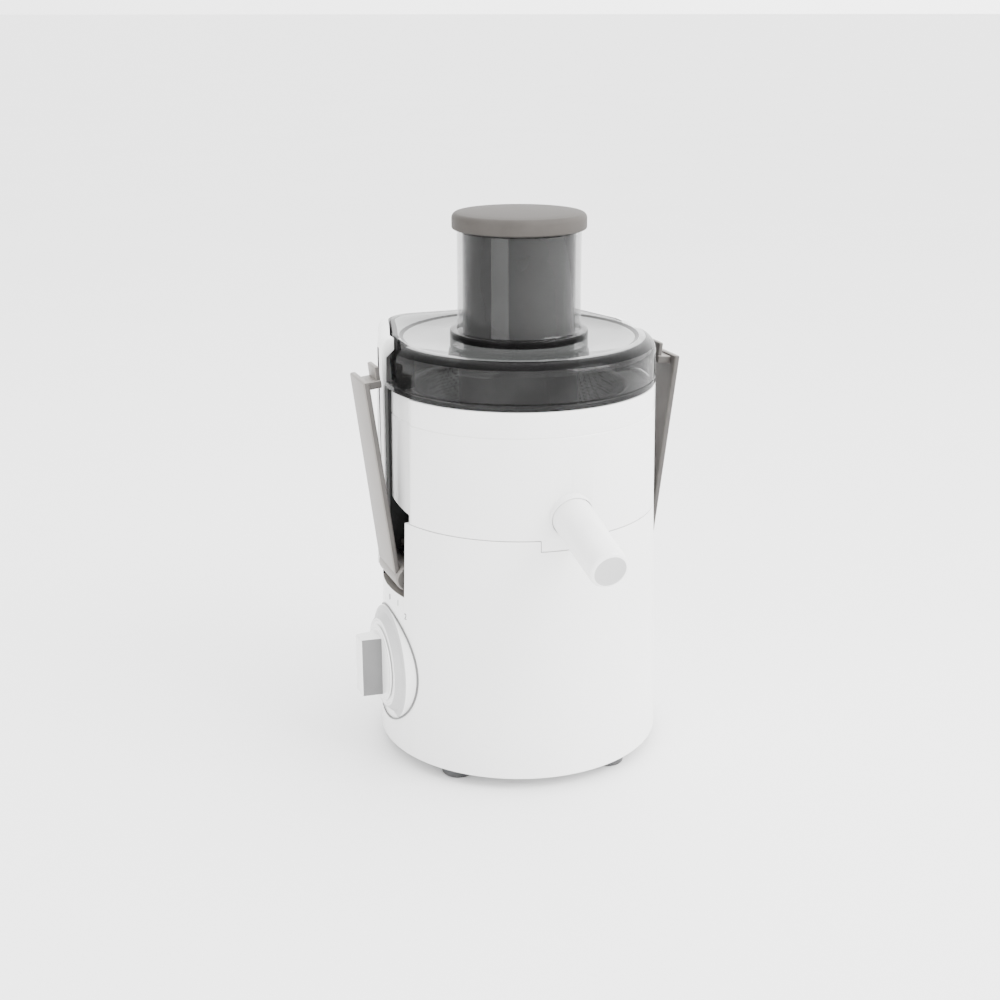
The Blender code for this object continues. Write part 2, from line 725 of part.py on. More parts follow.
def basket_hub():
    """The socket that drops over the drive coupling."""
    def socket(angle):
        return 9.2 + 0.9 * math.cos(math.radians(6.0 * angle))

    low = COUPLING_Z + 0.6
    rings = [
        (12.8, low), (12.8, BASKET_Z - 0.9), (14.0, BASKET_Z - 0.3), (14.0, 174.0), (11.0, 177.0), (2.0, 178.0),
        (2.0, 172.0), (socket, 172.0), (socket, low),
    ]
    hub = ring_solid("basket_hub", rings, round_angles(18), closed=True)
    return combine(hub, cylinder("plug", 4.0, 172.2, 177.6, 12), "UNION")


def grater_disc():
    rings = [(14.4, BASKET_Z + 1.7), (39.8, BASKET_Z + 1.7), (39.8, BASKET_Z + 2.4), (36.0, BASKET_Z + 3.6),
             (18.0, BASKET_Z + 4.6), (14.4, BASKET_Z + 4.6)]
    return ring_solid("grater_disc", rings, round_angles(28), closed=True)


# ---------------------------------------------------------------- container

def container_radius(inset):
    """The outline taken in by an amount, and flat where it passes behind a latch."""
    def radius(angle):
        reach = container_outline(angle) - inset
        if side_distance(angle) < SIDE_FLAT_Y:
            across = abs(math.cos(math.radians(angle)))
            reach = min(reach, (SIDE_FLAT_X - max(0.0, inset)) / across)
        return reach

    return radius


def container_angles():
    corner = math.degrees(math.atan2(CORNER_Y, CORNER_X))
    extra = [corner + i * 5.0 for i in range(-3, 6)]
    extra += [180.0 - a for a in extra]
    return round_angles(ROUND, extra + side_angles(10.9, SIDE_FLAT_Y - 0.02, SIDE_FLAT_Y + 1.2))


def pulp_container():
    """An open box bent round the back of the bowl, with a thick rolled rim."""
    angles = container_angles()
    bottom = SHELF_Z
    top = LID_Z
    wall = 2.4
    flare = (BODY_RADIUS - RIM_RADIUS) * 0.55
    bend = 6.0
    rings = [(container_radius(-flare), bottom)]
    for i in range(5):
        turn = math.radians(22.5 * i)
        rings.append((container_radius(bend * (1.0 - math.cos(turn))), top - bend * (1.0 - math.sin(turn))))
    outer = ring_solid("pulp_container", rings, angles)
    combine(outer, cylinder("inner", CUP_RADIUS + CUP_WALL + 1.0, bottom - 5.0, top + 5.0, ROUND))
    combine(outer, box("front", (-140.0, -140.0, 50.0), (140.0, CONTAINER_Y, 260.0)))
    combine(outer, box("block", (-140.0, 0.0, 50.0), (140.0, HINGE_BLOCK_Y, HINGE_SHELF_Z)))
    hollow = ring_solid("hollow", [
        (container_radius(wall - flare), bottom + wall),
        (container_radius(wall), top - bend - 4.5), (container_radius(CONTAINER_RIM), top - bend - 0.5),
        (container_radius(CONTAINER_RIM), top + 5.0),
    ], angles)
    inner_wall = CUP_RADIUS + CUP_WALL + 1.0 + wall
    combine(hollow, cylinder("inner", inner_wall, bottom - 5.0, RIM_Z - 2.8, ROUND))
    combine(hollow, box("front", (-140.0, -140.0, 50.0), (140.0, CONTAINER_Y + wall, RIM_Z - 2.8)))
    combine(hollow, box("block", (-140.0, 0.0, 50.0), (140.0, HINGE_BLOCK_Y + wall, HINGE_SHELF_Z + wall)))
    return combine(outer, hollow)


# ---------------------------------------------------------------- lid and pusher

def lid():
    """The clear lid with its feed tube, which reaches down into the basket."""
    low = RIM_Z + GAP
    shoulder = 8.2
    front = RIM_RADIUS - 0.05
    top = LID_Z
    under = top - 2.6
    rings = [(lid_radius(front, 0.0, False), low), (lid_radius(front, 0.0, False), LEDGE_Z),
             (lid_radius(front, 0.3, True), LEDGE_Z + 0.2)]
    for i in range(4):
        turn = math.radians(30.0 * i)
        inset = shoulder * (1.0 - math.cos(turn))
        z = top - shoulder * (1.0 - math.sin(turn))
        rings.append((top_edge(front, inset), z))
    rings += [
        (TUBE_RADIUS - 1.5, top), (TUBE_RADIUS - 1.5, under), (top_edge(front - 2.6, shoulder), under),
        (lid_radius(front, 3.2, True), top - shoulder), (lid_radius(front, 3.2, True), LEDGE_Z - 1.0),
        (lid_radius(front, 2.6, False), low),
    ]
    eps = 0.02
    steps = side_angles(NOTCH_FRONT - eps, NOTCH_FRONT + eps, SHELL_END_Y, SHELL_END_Y + 0.2,
                        NOTCH_BACK - eps, NOTCH_BACK + eps)
    steps += side_angles(SIDE_FLAT_Y - 0.02, SIDE_FLAT_Y + 1.2)
    cover = ring_solid("lid", rings, round_angles(ROUND, steps), closed=True)
    return combine(cover, feed_tube(), "UNION")


def feed_tube():
    bore = TUBE_RADIUS - 3.0
    rings = [
        (38.6, LID_Z - 1.2), (38.2, LID_Z + 3.2), (TUBE_RADIUS + 0.6, LID_Z + 4.0),
        (TUBE_RADIUS, LID_Z + 4.6), (TUBE_RADIUS, CAP_Z - 1.4), (TUBE_RADIUS - 0.7, CAP_Z - 0.7),
        (bore + 0.6, CAP_Z - 0.7), (bore, CAP_Z - 1.4), (bore, 172.5), (TUBE_RADIUS - 0.8, 172.5),
        (TUBE_RADIUS - 0.8, LID_Z - 1.2),
    ]
    return ring_solid("feed_tube", rings, round_angles(36), closed=True)


def top_edge(front, inset):
    """The lid's outline on its rounded shoulder; behind, only a small round is taken off."""
    share = 0.15

    def radius(angle):
        y = side_distance(angle)
        behind_rim = y >= SHELL_END_Y + 0.1
        taken = inset * share if behind_rim else inset
        plain = lid_radius(front, 0.0, False)(angle) - taken
        if NOTCH_FRONT < y < NOTCH_BACK:
            across = abs(math.cos(math.radians(angle)))
            plain = min(plain, (NOTCH_X - 0.3) / across)
        return plain

    return radius


def pusher():
    """The smoky plunger: a deep cup that slides down the feed tube."""
    outer = 30.7
    top = CAP_Z - GAP
    rings = [
        (outer - 4.0, 181.0), (outer - 1.5, 182.0), (outer, top), (outer - 2.2, top), (outer - 3.6, 184.0),
        (2.0, 184.0), (2.0, 181.0),
    ]
    obj = ring_solid("pusher", rings, round_angles(36), closed=True)
    return combine(obj, cylinder("plug", 5.0, 181.2, 183.8, 20), "UNION")


def pusher_cap():
    """The grey disc that the hand presses."""
    rings = [
        (28.0, CAP_Z - 4.0), (28.0, CAP_Z), (36.4, CAP_Z), (37.1, CAP_Z + 1.0), (37.1, CAP_Z + 6.0),
        (36.2, CAP_Z + 8.0), (34.0, CAP_Z + 8.9), (22.0, CAP_Z + 9.6), (8.0, CAP_Z + 9.9),
    ]
    return ring_solid("pusher_cap", rings, round_angles(36))


# ---------------------------------------------------------------- latches

def latch(name):
    """The right latch, shut: a tapered lever on a barrel, with a hook that holds the lid's ledge."""
    half_low = 17.8
    half_high = 14.0
    outline = [(-half_low, HINGE_Z - 1.0), (half_low, HINGE_Z - 1.0), (half_high, LATCH_TOP_Z + 6.0),
               (half_high - 2.0, LATCH_TOP_Z + 7.6), (-half_high + 2.0, LATCH_TOP_Z + 7.6),
               (-half_high, LATCH_TOP_Z + 6.0)]
    bm = bmesh.new()
    near = LATCH_X - LATCH_THICK
    first = [bm.verts.new((near, y, z)) for y, z in outline]
    second = [bm.verts.new((LATCH_X, y, z)) for y, z in outline]
    bm.faces.new(first)
    bm.faces.new(second)
    for i in range(len(outline)):
        j = (i + 1) % len(outline)
        bm.faces.new((first[i], first[j], second[j], second[i]))
    bmesh.ops.recalc_face_normals(bm, faces=bm.faces)
    lever = make_object(name, bm, smooth=False)
    barrel = along_y(cylinder("barrel", BARREL_RADIUS, -half_low, half_low, 32), HINGE_X, 0.0, HINGE_Z)
    combine(lever, barrel, "UNION")
    arm = box("arm", (NOTCH_X + 1.6, -9.0, HOOK_Z), (LATCH_X - 1.0, 7.0, HOOK_Z + 4.4))
    combine(lever, arm, "UNION")
    fin = box("fin", (NOTCH_X + 1.6, -8.0, HOOK_Z + 1.0), (NOTCH_X + 4.4, 6.0, HOOK_Z + 12.0))
    combine(lever, fin, "UNION")
    hole = along_y(cylinder("hole", PIN_RADIUS + GAP, -30.0, 30.0, 20), HINGE_X, 0.0, HINGE_Z)
    combine(lever, hole)
    on_pivot(lever, (HINGE_X, 0.0, HINGE_Z))
    lever.rotation_euler = (0.0, math.radians(LATCH_OPEN), 0.0)
    return lever


def hinge_pin(name, side):
    return along_y(cylinder(name, PIN_RADIUS, -PIN_HALF, PIN_HALF, 18), side * HINGE_X, 0.0, HINGE_Z)


# ---------------------------------------------------------------- assembly

def build():
    clear_scene()
    white = plastic("white_plastic", PLASTIC_WHITE, 0.22)
    grey = plastic("grey_plastic", PLASTIC_GREY, 0.4)
    latch_grey = plastic("latch_plastic", LATCH_GREY, 0.4)
    smoke = plastic("smoky_plastic", SMOKE, 0.08, alpha=0.45)
    rubber = plastic("rubber", RUBBER, 0.8)
    steel = plastic("steel", STEEL, 0.3, 1.0)
    iron = plastic("core_iron", IRON, 0.5, 0.9)
    copper = plastic("copper", COPPER, 0.35, 1.0)
    black = plastic("black_plastic", BLACK, 0.5)

    pieces = [(base_housing(), white), (base_plate(), white)]
    pieces += [(base_screw(i + 1, angle), steel) for i, angle in enumerate(FEET)]
    pieces += [(foot(i + 1, angle), rubber) for i, angle in enumerate(FEET)]
    pieces.append((cord_inlet_bush(), rubber))
    motor_finish = {
        "motor_stator": iron, "armature_core": iron, "commutator": copper, "field_coil_left": copper,
        "field_coil_right": copper, "cooling_fan": black, "lower_bracket": iron, "upper_bracket": iron,
        "brush_holder_left": black, "brush_holder_right": black, "carbon_brush_left": black,
        "carbon_brush_right": black, "motor_mount_front": rubber, "motor_mount_rear": rubber,
        "shaft_seal": rubber,
    }
    pieces += [(obj, motor_finish.get(name, steel)) for name, obj in motor_parts().items()]
    pieces += [(drive_coupling(), black), (dial_bezel(), white), (speed_knob(), white)]
    pieces += [(knob_shaft(), black), (rotary_switch(), black)]
    pieces += [(interlock_switch(), black), (interlock_plunger(), grey)]
    pieces += [(juice_bowl(), white), (spout(), white)]
    pieces += [(edge_seal("left_edge_seal", -1), rubber), (edge_seal("right_edge_seal", 1), rubber)]
    pieces += [(filter_basket(), steel), (basket_hub(), black), (grater_disc(), steel)]
    pieces += [(pulp_container(), white), (lid(), smoke), (pusher(), smoke), (pusher_cap(), grey)]
    right = latch("right_latch")
    pieces += [(mirrored(right, "left_latch"), latch_grey), (right, latch_grey)]
    pieces += [(hinge_pin("left_hinge_pin", -1), steel), (hinge_pin("right_hinge_pin", 1), steel)]

    root = bpy.data.objects.new("juicer", None)
    bpy.context.scene.collection.objects.link(root)
    for obj, material in pieces:
        obj.data.materials.clear()
        obj.data.materials.append(material)
        obj.parent = root
    stand_on_origin(root)


def stand_on_origin(root):
    """Moves the assembly so that the middle of its footprint is over the origin."""
    bpy.context.view_layer.update()
    corners = []
    for obj in root.children:
        corners += [obj.matrix_world @ vertex.co for vertex in obj.data.vertices]
    for axis in (0, 1):
        values = [corner[axis] for corner in corners]
        root.location[axis] = -(min(values) + max(values)) / 2
    bpy.context.view_layer.update()
    print("motor axis at", tuple(round(v, 6) for v in root.location))


build()
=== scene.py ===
# %% [markdown]
# # A compact centrifugal juicer
# The frame of this scene is the juicer's own solid model: every piece in it has its real place.
# We load that frame first. The motor turns
# about an upright axis, so all round pieces below are turned about the same line, which we read from
# the motor's own joint. Lengths are written in millimetres, as on a drawing, and turned into metres
# only where a piece is placed.

# %% Load the frame and find the motor's axis
import json
import math

import bpy
from mathutils import Matrix, Vector


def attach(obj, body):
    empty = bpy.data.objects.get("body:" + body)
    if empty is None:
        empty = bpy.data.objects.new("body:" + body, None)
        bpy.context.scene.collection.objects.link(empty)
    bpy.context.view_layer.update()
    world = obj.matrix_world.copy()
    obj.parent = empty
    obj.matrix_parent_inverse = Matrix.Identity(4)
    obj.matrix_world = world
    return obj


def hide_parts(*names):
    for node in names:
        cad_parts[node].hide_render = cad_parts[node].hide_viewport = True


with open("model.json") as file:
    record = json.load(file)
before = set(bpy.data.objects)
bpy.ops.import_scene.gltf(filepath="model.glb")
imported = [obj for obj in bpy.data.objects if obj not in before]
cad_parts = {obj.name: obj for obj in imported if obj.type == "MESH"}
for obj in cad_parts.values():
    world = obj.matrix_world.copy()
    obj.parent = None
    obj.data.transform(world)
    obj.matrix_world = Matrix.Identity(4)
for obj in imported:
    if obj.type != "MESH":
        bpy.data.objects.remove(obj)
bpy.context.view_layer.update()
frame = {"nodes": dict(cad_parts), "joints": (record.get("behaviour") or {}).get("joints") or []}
joints = {joint["name"]: joint for joint in frame["joints"]}
AXIS_X, AXIS_Y = joints["drive_spin"]["pos_m"][:2]
MM = 0.001


def at(x, y, z):
    """A place measured in millimetres from the motor's axis and the worktop, in metres."""
    return Vector((AXIS_X + x * MM, AXIS_Y + y * MM, z * MM))


print("motor axis", AXIS_X, AXIS_Y, "nodes", len(frame["nodes"]))

# %% [markdown]
# ## Drawing dimensions
# The body is a slightly tapered drum. Its radius at any height comes from one small function, so that
# the base, the bowl and the container all share the same flank and their seams meet.

# %% Levels and radii
FOOT = 7.0
SEAM = 145.4
RIM = 215.5
LID_TOP = 241.3
CAP_LOW = 299.7
SHELF = 105.0
HINGE_SHELF = 119.0
R_FOOT = 82.0
R_SEAM = 77.9
R_RIM = 76.75
CUP = 62.2
TUBE = 34.3
HINGE_X = 72.6
HINGE_Z = 110.5
POCKET = 20.5
PIN = 1.8
DIAL_Z = 54.6
SPOUT_ROOT = (0.0, -77.5, 158.0)
SPOUT_SLOPE = math.radians(16.0)
SPOUT_HOLE = 11.8


def drum(z):
    if z <= SEAM:
        return R_FOOT - (R_FOOT - R_SEAM) * (z - FOOT) / (SEAM - FOOT)
    return R_SEAM - (R_SEAM - R_RIM) * (z - SEAM) / (RIM - SEAM)


print("drum radius at foot, seam, rim:", drum(FOOT), drum(SEAM), drum(RIM))

# %% [markdown]
# ## Small modelling helpers
# Blender's operators act on whatever is selected, so each step starts by clearing the selection.
# Booleans, bevels and other modifiers are applied at once, which leaves plain meshes that export well.
# A finished piece keeps its place in its mesh and its object at the origin.

# %% Helpers for selecting, cutting and bevelling
def start_clean():
    if bpy.context.object and bpy.context.object.mode != "OBJECT":
        bpy.ops.object.mode_set(mode="OBJECT")
    bpy.ops.object.select_all(action="DESELECT")


def only(obj):
    start_clean()
    obj.select_set(True)
    bpy.context.view_layer.objects.active = obj
    return obj


def settle(obj):
    """Moves the object's place, turn and scale into its mesh."""
    only(obj)
    bpy.ops.object.transform_apply(location=True, rotation=True, scale=True)
    return obj


def cut(obj, tool, operation="DIFFERENCE", solver="EXACT"):
    settle(tool)
    only(obj)
    modifier = obj.modifiers.new("cut", "BOOLEAN")
    modifier.operation = operation
    modifier.solver = solver
    modifier.object = tool
    bpy.ops.object.modifier_apply(modifier=modifier.name)
    bpy.data.objects.remove(tool, do_unlink=True)
    return obj


def soften(obj, width, segments=3, angle=35.0):
    """A rounded edge wherever two faces meet at more than an angle."""
    only(obj)
    modifier = obj.modifiers.new("edge", "BEVEL")
    modifier.width = width * MM
    modifier.segments = segments
    modifier.limit_method = "ANGLE"
    modifier.angle_limit = math.radians(angle)
    bpy.ops.object.modifier_apply(modifier=modifier.name)
    return obj


def smooth(obj, angle=32.0):
    only(obj)
    bpy.ops.object.shade_smooth_by_angle(angle=math.radians(angle))
    return obj


def block(low, high):
    """A box between two corners."""
    start_clean()
    centre = at(*[(a + b) / 2 for a, b in zip(low, high)])
    size = [(b - a) * MM for a, b in zip(low, high)]
    bpy.ops.mesh.primitive_cube_add(size=1.0, location=centre, scale=size)
    return settle(bpy.context.object)


def drum_piece(low_radius, high_radius, low, high, x=0.0, y=0.0, sides=160):
    """An upright cylinder, or a cone if its two radii differ."""
    start_clean()
    bpy.ops.mesh.primitive_cone_add(
        vertices=sides, radius1=low_radius * MM, radius2=high_radius * MM, depth=(high - low) * MM,
        location=at(x, y, (low + high) / 2),
    )
    return settle(bpy.context.object)


# %% Helper for turned pieces
def lathe(profile, steps=128, sweep=360.0, start=0.0):
    """Turns a closed outline of (radius, height) about the motor's axis, as on a wood lathe."""
    start_clean()
    bpy.ops.mesh.primitive_plane_add(size=0.001, location=at(profile[0][0], 0.0, profile[0][1]))
    obj = bpy.context.object
    bpy.ops.object.transform_apply(location=True, rotation=False, scale=True)
    bpy.ops.object.mode_set(mode="EDIT")
    bpy.ops.mesh.select_all(action="SELECT")
    bpy.ops.mesh.merge(type="CENTER")
    for (r0, z0), (r1, z1) in zip(profile, profile[1:] + profile[:1]):
        step = ((r1 - r0) * MM, 0.0, (z1 - z0) * MM)
        bpy.ops.mesh.extrude_region_move(TRANSFORM_OT_translate={"value": step})
    bpy.ops.mesh.select_all(action="SELECT")
    bpy.ops.mesh.remove_doubles(threshold=1e-7)
    centre = at(0.0, 0.0, 0.0)
    if start:
        bpy.ops.object.mode_set(mode="OBJECT")
        turn = Matrix.Rotation(math.radians(start), 4, "Z")
        obj.data.transform(Matrix.Translation(centre) @ turn @ Matrix.Translation(-centre))
        bpy.ops.object.mode_set(mode="EDIT")
        bpy.ops.mesh.select_all(action="SELECT")
    bpy.ops.mesh.spin(steps=steps, angle=-math.radians(sweep), center=centre, axis=(0.0, 0.0, 1.0))
    bpy.ops.mesh.select_all(action="SELECT")
    bpy.ops.mesh.remove_doubles(threshold=2e-6)
    bpy.ops.mesh.select_all(action="SELECT")
    bpy.ops.mesh.fill_holes(sides=0)
    bpy.ops.mesh.select_all(action="SELECT")
    bpy.ops.mesh.normals_make_consistent(inside=False)
    bpy.ops.object.mode_set(mode="OBJECT")
    return obj


def swing(obj, matrix):
    """Carries a piece modelled on the motor's axis to another place: the matrix is in millimetres."""
    origin = at(0.0, 0.0, 0.0)
    scaled = matrix.copy()
    scaled.translation = matrix.translation * MM
    obj.data.transform(Matrix.Translation(origin) @ scaled @ Matrix.Translation(-origin))
    return obj


def arc(cx, cz, radius, first, last, count):
    """Points on a rounded corner of an outline."""
    steps = [math.radians(first + (last - first) * i / count) for i in range(count + 1)]
    return [(cx + radius * math.cos(a), cz + radius * math.sin(a)) for a in steps]


print("helpers ready")

# %% [markdown]
# ## Finishes
# A moulded part is never one flat colour. Its gloss wanders a little where the mould was polished by
# hand, and very fine waves in the surface bend its reflections. So each finish here mixes a slow
# noise into its colour and roughness, and adds a fine bump. The noise reads Object coordinates, so
# that it sits still on the piece when the piece moves.

# %% A maker for moulded and metal finishes
def finish(name, low, high, rough=(0.2, 0.3), scale=40.0, bump=0.02, metallic=0.0, alpha=1.0,
           coat=0.0, grain=900.0, specular=0.5):
    material = bpy.data.materials.new(name)
    material.use_nodes = True
    nodes = material.node_tree.nodes
    links = material.node_tree.links
    shader = nodes["Principled BSDF"]
    place = nodes.new("ShaderNodeTexCoord")
    slow = nodes.new("ShaderNodeTexNoise")
    slow.inputs["Scale"].default_value = scale
    slow.inputs["Detail"].default_value = 3.0
    links.new(place.outputs["Object"], slow.inputs["Vector"])
    tone = nodes.new("ShaderNodeValToRGB")
    tone.color_ramp.elements[0].position = 0.3
    tone.color_ramp.elements[1].position = 0.7
    tone.color_ramp.elements[0].color = (*low, 1.0)
    tone.color_ramp.elements[1].color = (*high, 1.0)
    links.new(slow.outputs["Fac"], tone.inputs["Fac"])
    links.new(tone.outputs["Color"], shader.inputs["Base Color"])
    gloss = nodes.new("ShaderNodeMapRange")
    gloss.inputs["To Min"].default_value = rough[0]
    gloss.inputs["To Max"].default_value = rough[1]
    links.new(slow.outputs["Fac"], gloss.inputs["Value"])
    links.new(gloss.outputs["Result"], shader.inputs["Roughness"])
    fine = nodes.new("ShaderNodeTexNoise")
    fine.inputs["Scale"].default_value = grain
    fine.inputs["Detail"].default_value = 2.0
    links.new(place.outputs["Object"], fine.inputs["Vector"])
    relief = nodes.new("ShaderNodeBump")
    relief.inputs["Strength"].default_value = bump
    relief.inputs["Distance"].default_value = 0.0005
    links.new(fine.outputs["Fac"], relief.inputs["Height"])
    links.new(relief.outputs["Normal"], shader.inputs["Normal"])
    shader.inputs["Metallic"].default_value = metallic
    shader.inputs["Alpha"].default_value = alpha
    shader.inputs["Coat Weight"].default_value = coat
    shader.inputs["Coat Roughness"].default_value = 0.06
    shader.inputs["Specular IOR Level"].default_value = specular
    material.diffuse_color = (*high, alpha)
    return material


white = finish("glossy_white", (0.79, 0.79, 0.785), (0.83, 0.83, 0.825), (0.2, 0.27), 14.0, 0.015,
               coat=0.25)
white_matt = finish("satin_white", (0.72, 0.72, 0.715), (0.77, 0.77, 0.765), (0.36, 0.45), 30.0, 0.05)
cap_grey = finish("warm_grey", (0.052, 0.048, 0.044), (0.062, 0.057, 0.053), (0.5, 0.6), 60.0, 0.12,
                  specular=0.06)
latch_grey = finish("pale_warm_grey", (0.155, 0.144, 0.134), (0.185, 0.172, 0.160), (0.36, 0.46), 50.0,
                    0.08, specular=0.25)
latch_shade = finish("shaded_warm_grey", (0.055, 0.051, 0.048), (0.075, 0.070, 0.066), (0.4, 0.5), 50.0,
                     0.08, specular=0.2)
# A darker white, painted shade for the spout's end face and the boss's cone.
shade_white = finish("painted_shade_white", (0.40, 0.40, 0.40), (0.46, 0.46, 0.46), (0.36, 0.45), 30.0, 0.05)
# A grey, painted shade for the knob grip's sides and the line at the boss's foot.
shade_grey = finish("painted_shade_grey", (0.13, 0.13, 0.13), (0.16, 0.16, 0.16), (0.4, 0.5), 50.0, 0.08,
                   specular=0.3)
# Dark rubber for the real rubber parts. On the latch pockets' walls it is painted shade, and on the edge
# strips it is partly so.
rubber = finish("dark_rubber_and_painted_shade", (0.02, 0.02, 0.02), (0.032, 0.032, 0.032), (0.55, 0.7), 120.0, 0.25,
                specular=0.2)
foot_rubber = finish("foot_rubber", (0.035, 0.035, 0.036), (0.05, 0.05, 0.052), (0.5, 0.65), 120.0, 0.2)
black = finish("black_plastic", (0.018, 0.018, 0.018), (0.03, 0.03, 0.03), (0.35, 0.5), 80.0, 0.1)
mark_grey = finish("printed_grey", (0.04, 0.04, 0.04), (0.06, 0.06, 0.06), (0.5, 0.6), 80.0, 0.0)
steel = finish("brushed_steel", (0.52, 0.52, 0.53), (0.66, 0.66, 0.67), (0.22, 0.38), 220.0, 0.08, 1.0)
iron = finish("core_steel", (0.20, 0.21, 0.22), (0.30, 0.31, 0.33), (0.4, 0.6), 160.0, 0.2, 0.9)
copper = finish("copper_wire", (0.55, 0.24, 0.10), (0.75, 0.36, 0.17), (0.25, 0.4), 260.0, 0.3, 1.0)
print("finishes", len(bpy.data.materials))

# %% [markdown]
# ## Smoky clear plastic
# The lid and the pusher are tinted and clear. Real tinted plastic takes away part of the light that
# goes through each wall and still shines on its surface. A dark base with partial alpha does both,
# and it stays clean of the noise that refraction through four thin walls would bring. The real lid is
# taken to be one plastic of one tint. Alpha alone doesn't bend light, so the cover's walls, top,
# corners and feed tube each have a tint of their own, which stands in for how light or dark that
# stretch looks: the paler top is a painted reflection, and the near-black corners and rims are
# painted shade.

# %% Tints for the cover's walls, top and corners, and a deeper one for the pusher
smoke = finish("smoky_clear", (0.006, 0.006, 0.006), (0.020, 0.020, 0.020), (0.05, 0.09), 45.0, 0.01,
               alpha=0.56, coat=0.15, specular=0.15)
# The top's paler tint is a painted reflection.
smoke_painted_reflection = finish("smoky_painted_reflection", (0.10, 0.104, 0.102), (0.14, 0.146, 0.143), (0.05, 0.1), 12.0, 0.01,
                   alpha=0.62, coat=0.5, specular=0.8)
# The near-black tint of the corners and rims is painted shade.
smoke_painted_shade = finish("smoky_painted_shade", (0.003, 0.003, 0.003), (0.005, 0.005, 0.005), (0.08, 0.12), 30.0, 0.01,
                    alpha=0.9, specular=0.05)
smoke_tube = finish("smoky_tube", (0.020, 0.020, 0.020), (0.030, 0.030, 0.030), (0.04, 0.07), 30.0, 0.01,
                    alpha=0.42, coat=0.3, specular=0.35)
smoke_deep = finish("smoky_deep", (0.022, 0.021, 0.020), (0.040, 0.038, 0.036), (0.06, 0.1), 18.0, 0.01,
                    alpha=0.95, coat=0.3, specular=0.25)
print("tints ready")

# %% [markdown]
# ## A strainer sheet with rows of fine holes
# The conical strainer is stainless sheet with thousands of tiny holes. Cutting them would cost far
# more faces than they are worth behind a tinted lid, so they are dark dots in the material: an almost
# even pattern of cells, each with a dark middle.

# %% Strainer finish
def strainer_finish():
    material = finish("strainer_sheet", (0.50, 0.50, 0.51), (0.62, 0.62, 0.63), (0.25, 0.35), 200.0, 0.05,
                      1.0)
    nodes = material.node_tree.nodes
    links = material.node_tree.links
    shader = nodes["Principled BSDF"]
    place = nodes.new("ShaderNodeTexCoord")
    dots = nodes.new("ShaderNodeTexVoronoi")
    dots.inputs["Scale"].default_value = 600.0
    dots.inputs["Randomness"].default_value = 0.15
    links.new(place.outputs["Object"], dots.inputs["Vector"])
    hole = nodes.new("ShaderNodeMath")
    hole.operation = "GREATER_THAN"
    hole.inputs[1].default_value = 0.32
    links.new(dots.outputs["Distance"], hole.inputs[0])
    blend = nodes.new("ShaderNodeMix")
    blend.data_type = "RGBA"
    blend.inputs["A"].default_value = (0.02, 0.02, 0.02, 1.0)
    links.new(hole.outputs["Value"], blend.inputs["Factor"])
    links.new(shader.inputs["Base Color"].links[0].from_socket, blend.inputs["B"])
    links.new(blend.outputs["Result"], shader.inputs["Base Color"])
    return material


strainer = strainer_finish()
print("strainer finish ready")

# %% [markdown]
# ## Giving a piece its name, finish and body
# A body is what moves together: the spout turns in the bowl, and the bowl lifts off the base. Each
# piece is told which body it rides on and which plain solid it stands for.

# %% Helper for handing a piece over
def hand_over(obj, name, material, body, slot, *stands_for):
    settle(obj)
    obj.name = name
    obj.data.name = name
    obj.data.materials.clear()
    obj.data.materials.append(material)
    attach(obj, body)
    if stands_for:
        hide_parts(*stands_for)
    print(name, "faces", len(obj.data.polygons), "rides", body)
    return obj


# %% [markdown]
# ## The base
# The base is a tapered drum, open underneath. At the back it is cut down to a shelf for the pulp
# container, which leaves a round tower over the motor. Each flank has a pocket for a latch's lower
# end. We shape the outside and the inside as two solids with the same cuts, the inside ones grown by
# the wall, and take one from the other: that keeps the wall even all the way round.

# %% Base, outside and inside
def rear_space(tower, front, low, high):
    slab = block((-130.0, front, low), (130.0, 130.0, high))
    return cut(slab, drum_piece(tower, tower, low - 5.0, high + 5.0))


def pocket(side, skin):
    near, far = sorted((side * (65.0 - skin), side * 100.0))
    return block((near, -POCKET - skin, 101.0 - skin), (far, POCKET + skin, 170.0))


TOP = SEAM - 0.3
base = drum_piece(drum(FOOT), drum(TOP), FOOT, TOP)
hollow = drum_piece(drum(FOOT) - 3.0, drum(TOP) - 3.0, FOOT - 5.0, TOP - 3.0)
STEPS = ((0.0, 10.4, HINGE_SHELF - 0.3, 160.0), (0.3, 26.4, SHELF - 0.3, 121.0))
for thicker, front, level, high in STEPS:
    cut(base, rear_space(CUP + thicker, front, level, high))
    cut(hollow, rear_space(CUP + thicker - 3.0, front - 3.0, level - 3.0, high + 3.0 + thicker))
for side in (-1, 1):
    cut(base, pocket(side, 0.0))
    cut(hollow, pocket(side, 2.2))
cut(base, hollow)
print("base shell faces", len(base.data.polygons))

# %% [markdown]
# The shaft's tower, the notch that locates the bowl's tab, and the holes for the knob, the hinge pins,
# the safety pin and the cord bush come last. One small bevel then breaks every moulded edge, as a
# mould maker would. The latch pockets get painted shade: a dark finish on their walls and a grey one
# on their floors; no separate lining is made.

# %% Base, details
def sector(half, inner, outer, low, high):
    """A piece of a ring, centred on the front."""
    outline = [(inner, low), (outer, low), (outer, high), (inner, high)]
    return lathe(outline, steps=24, sweep=2 * half, start=-90.0 - half)


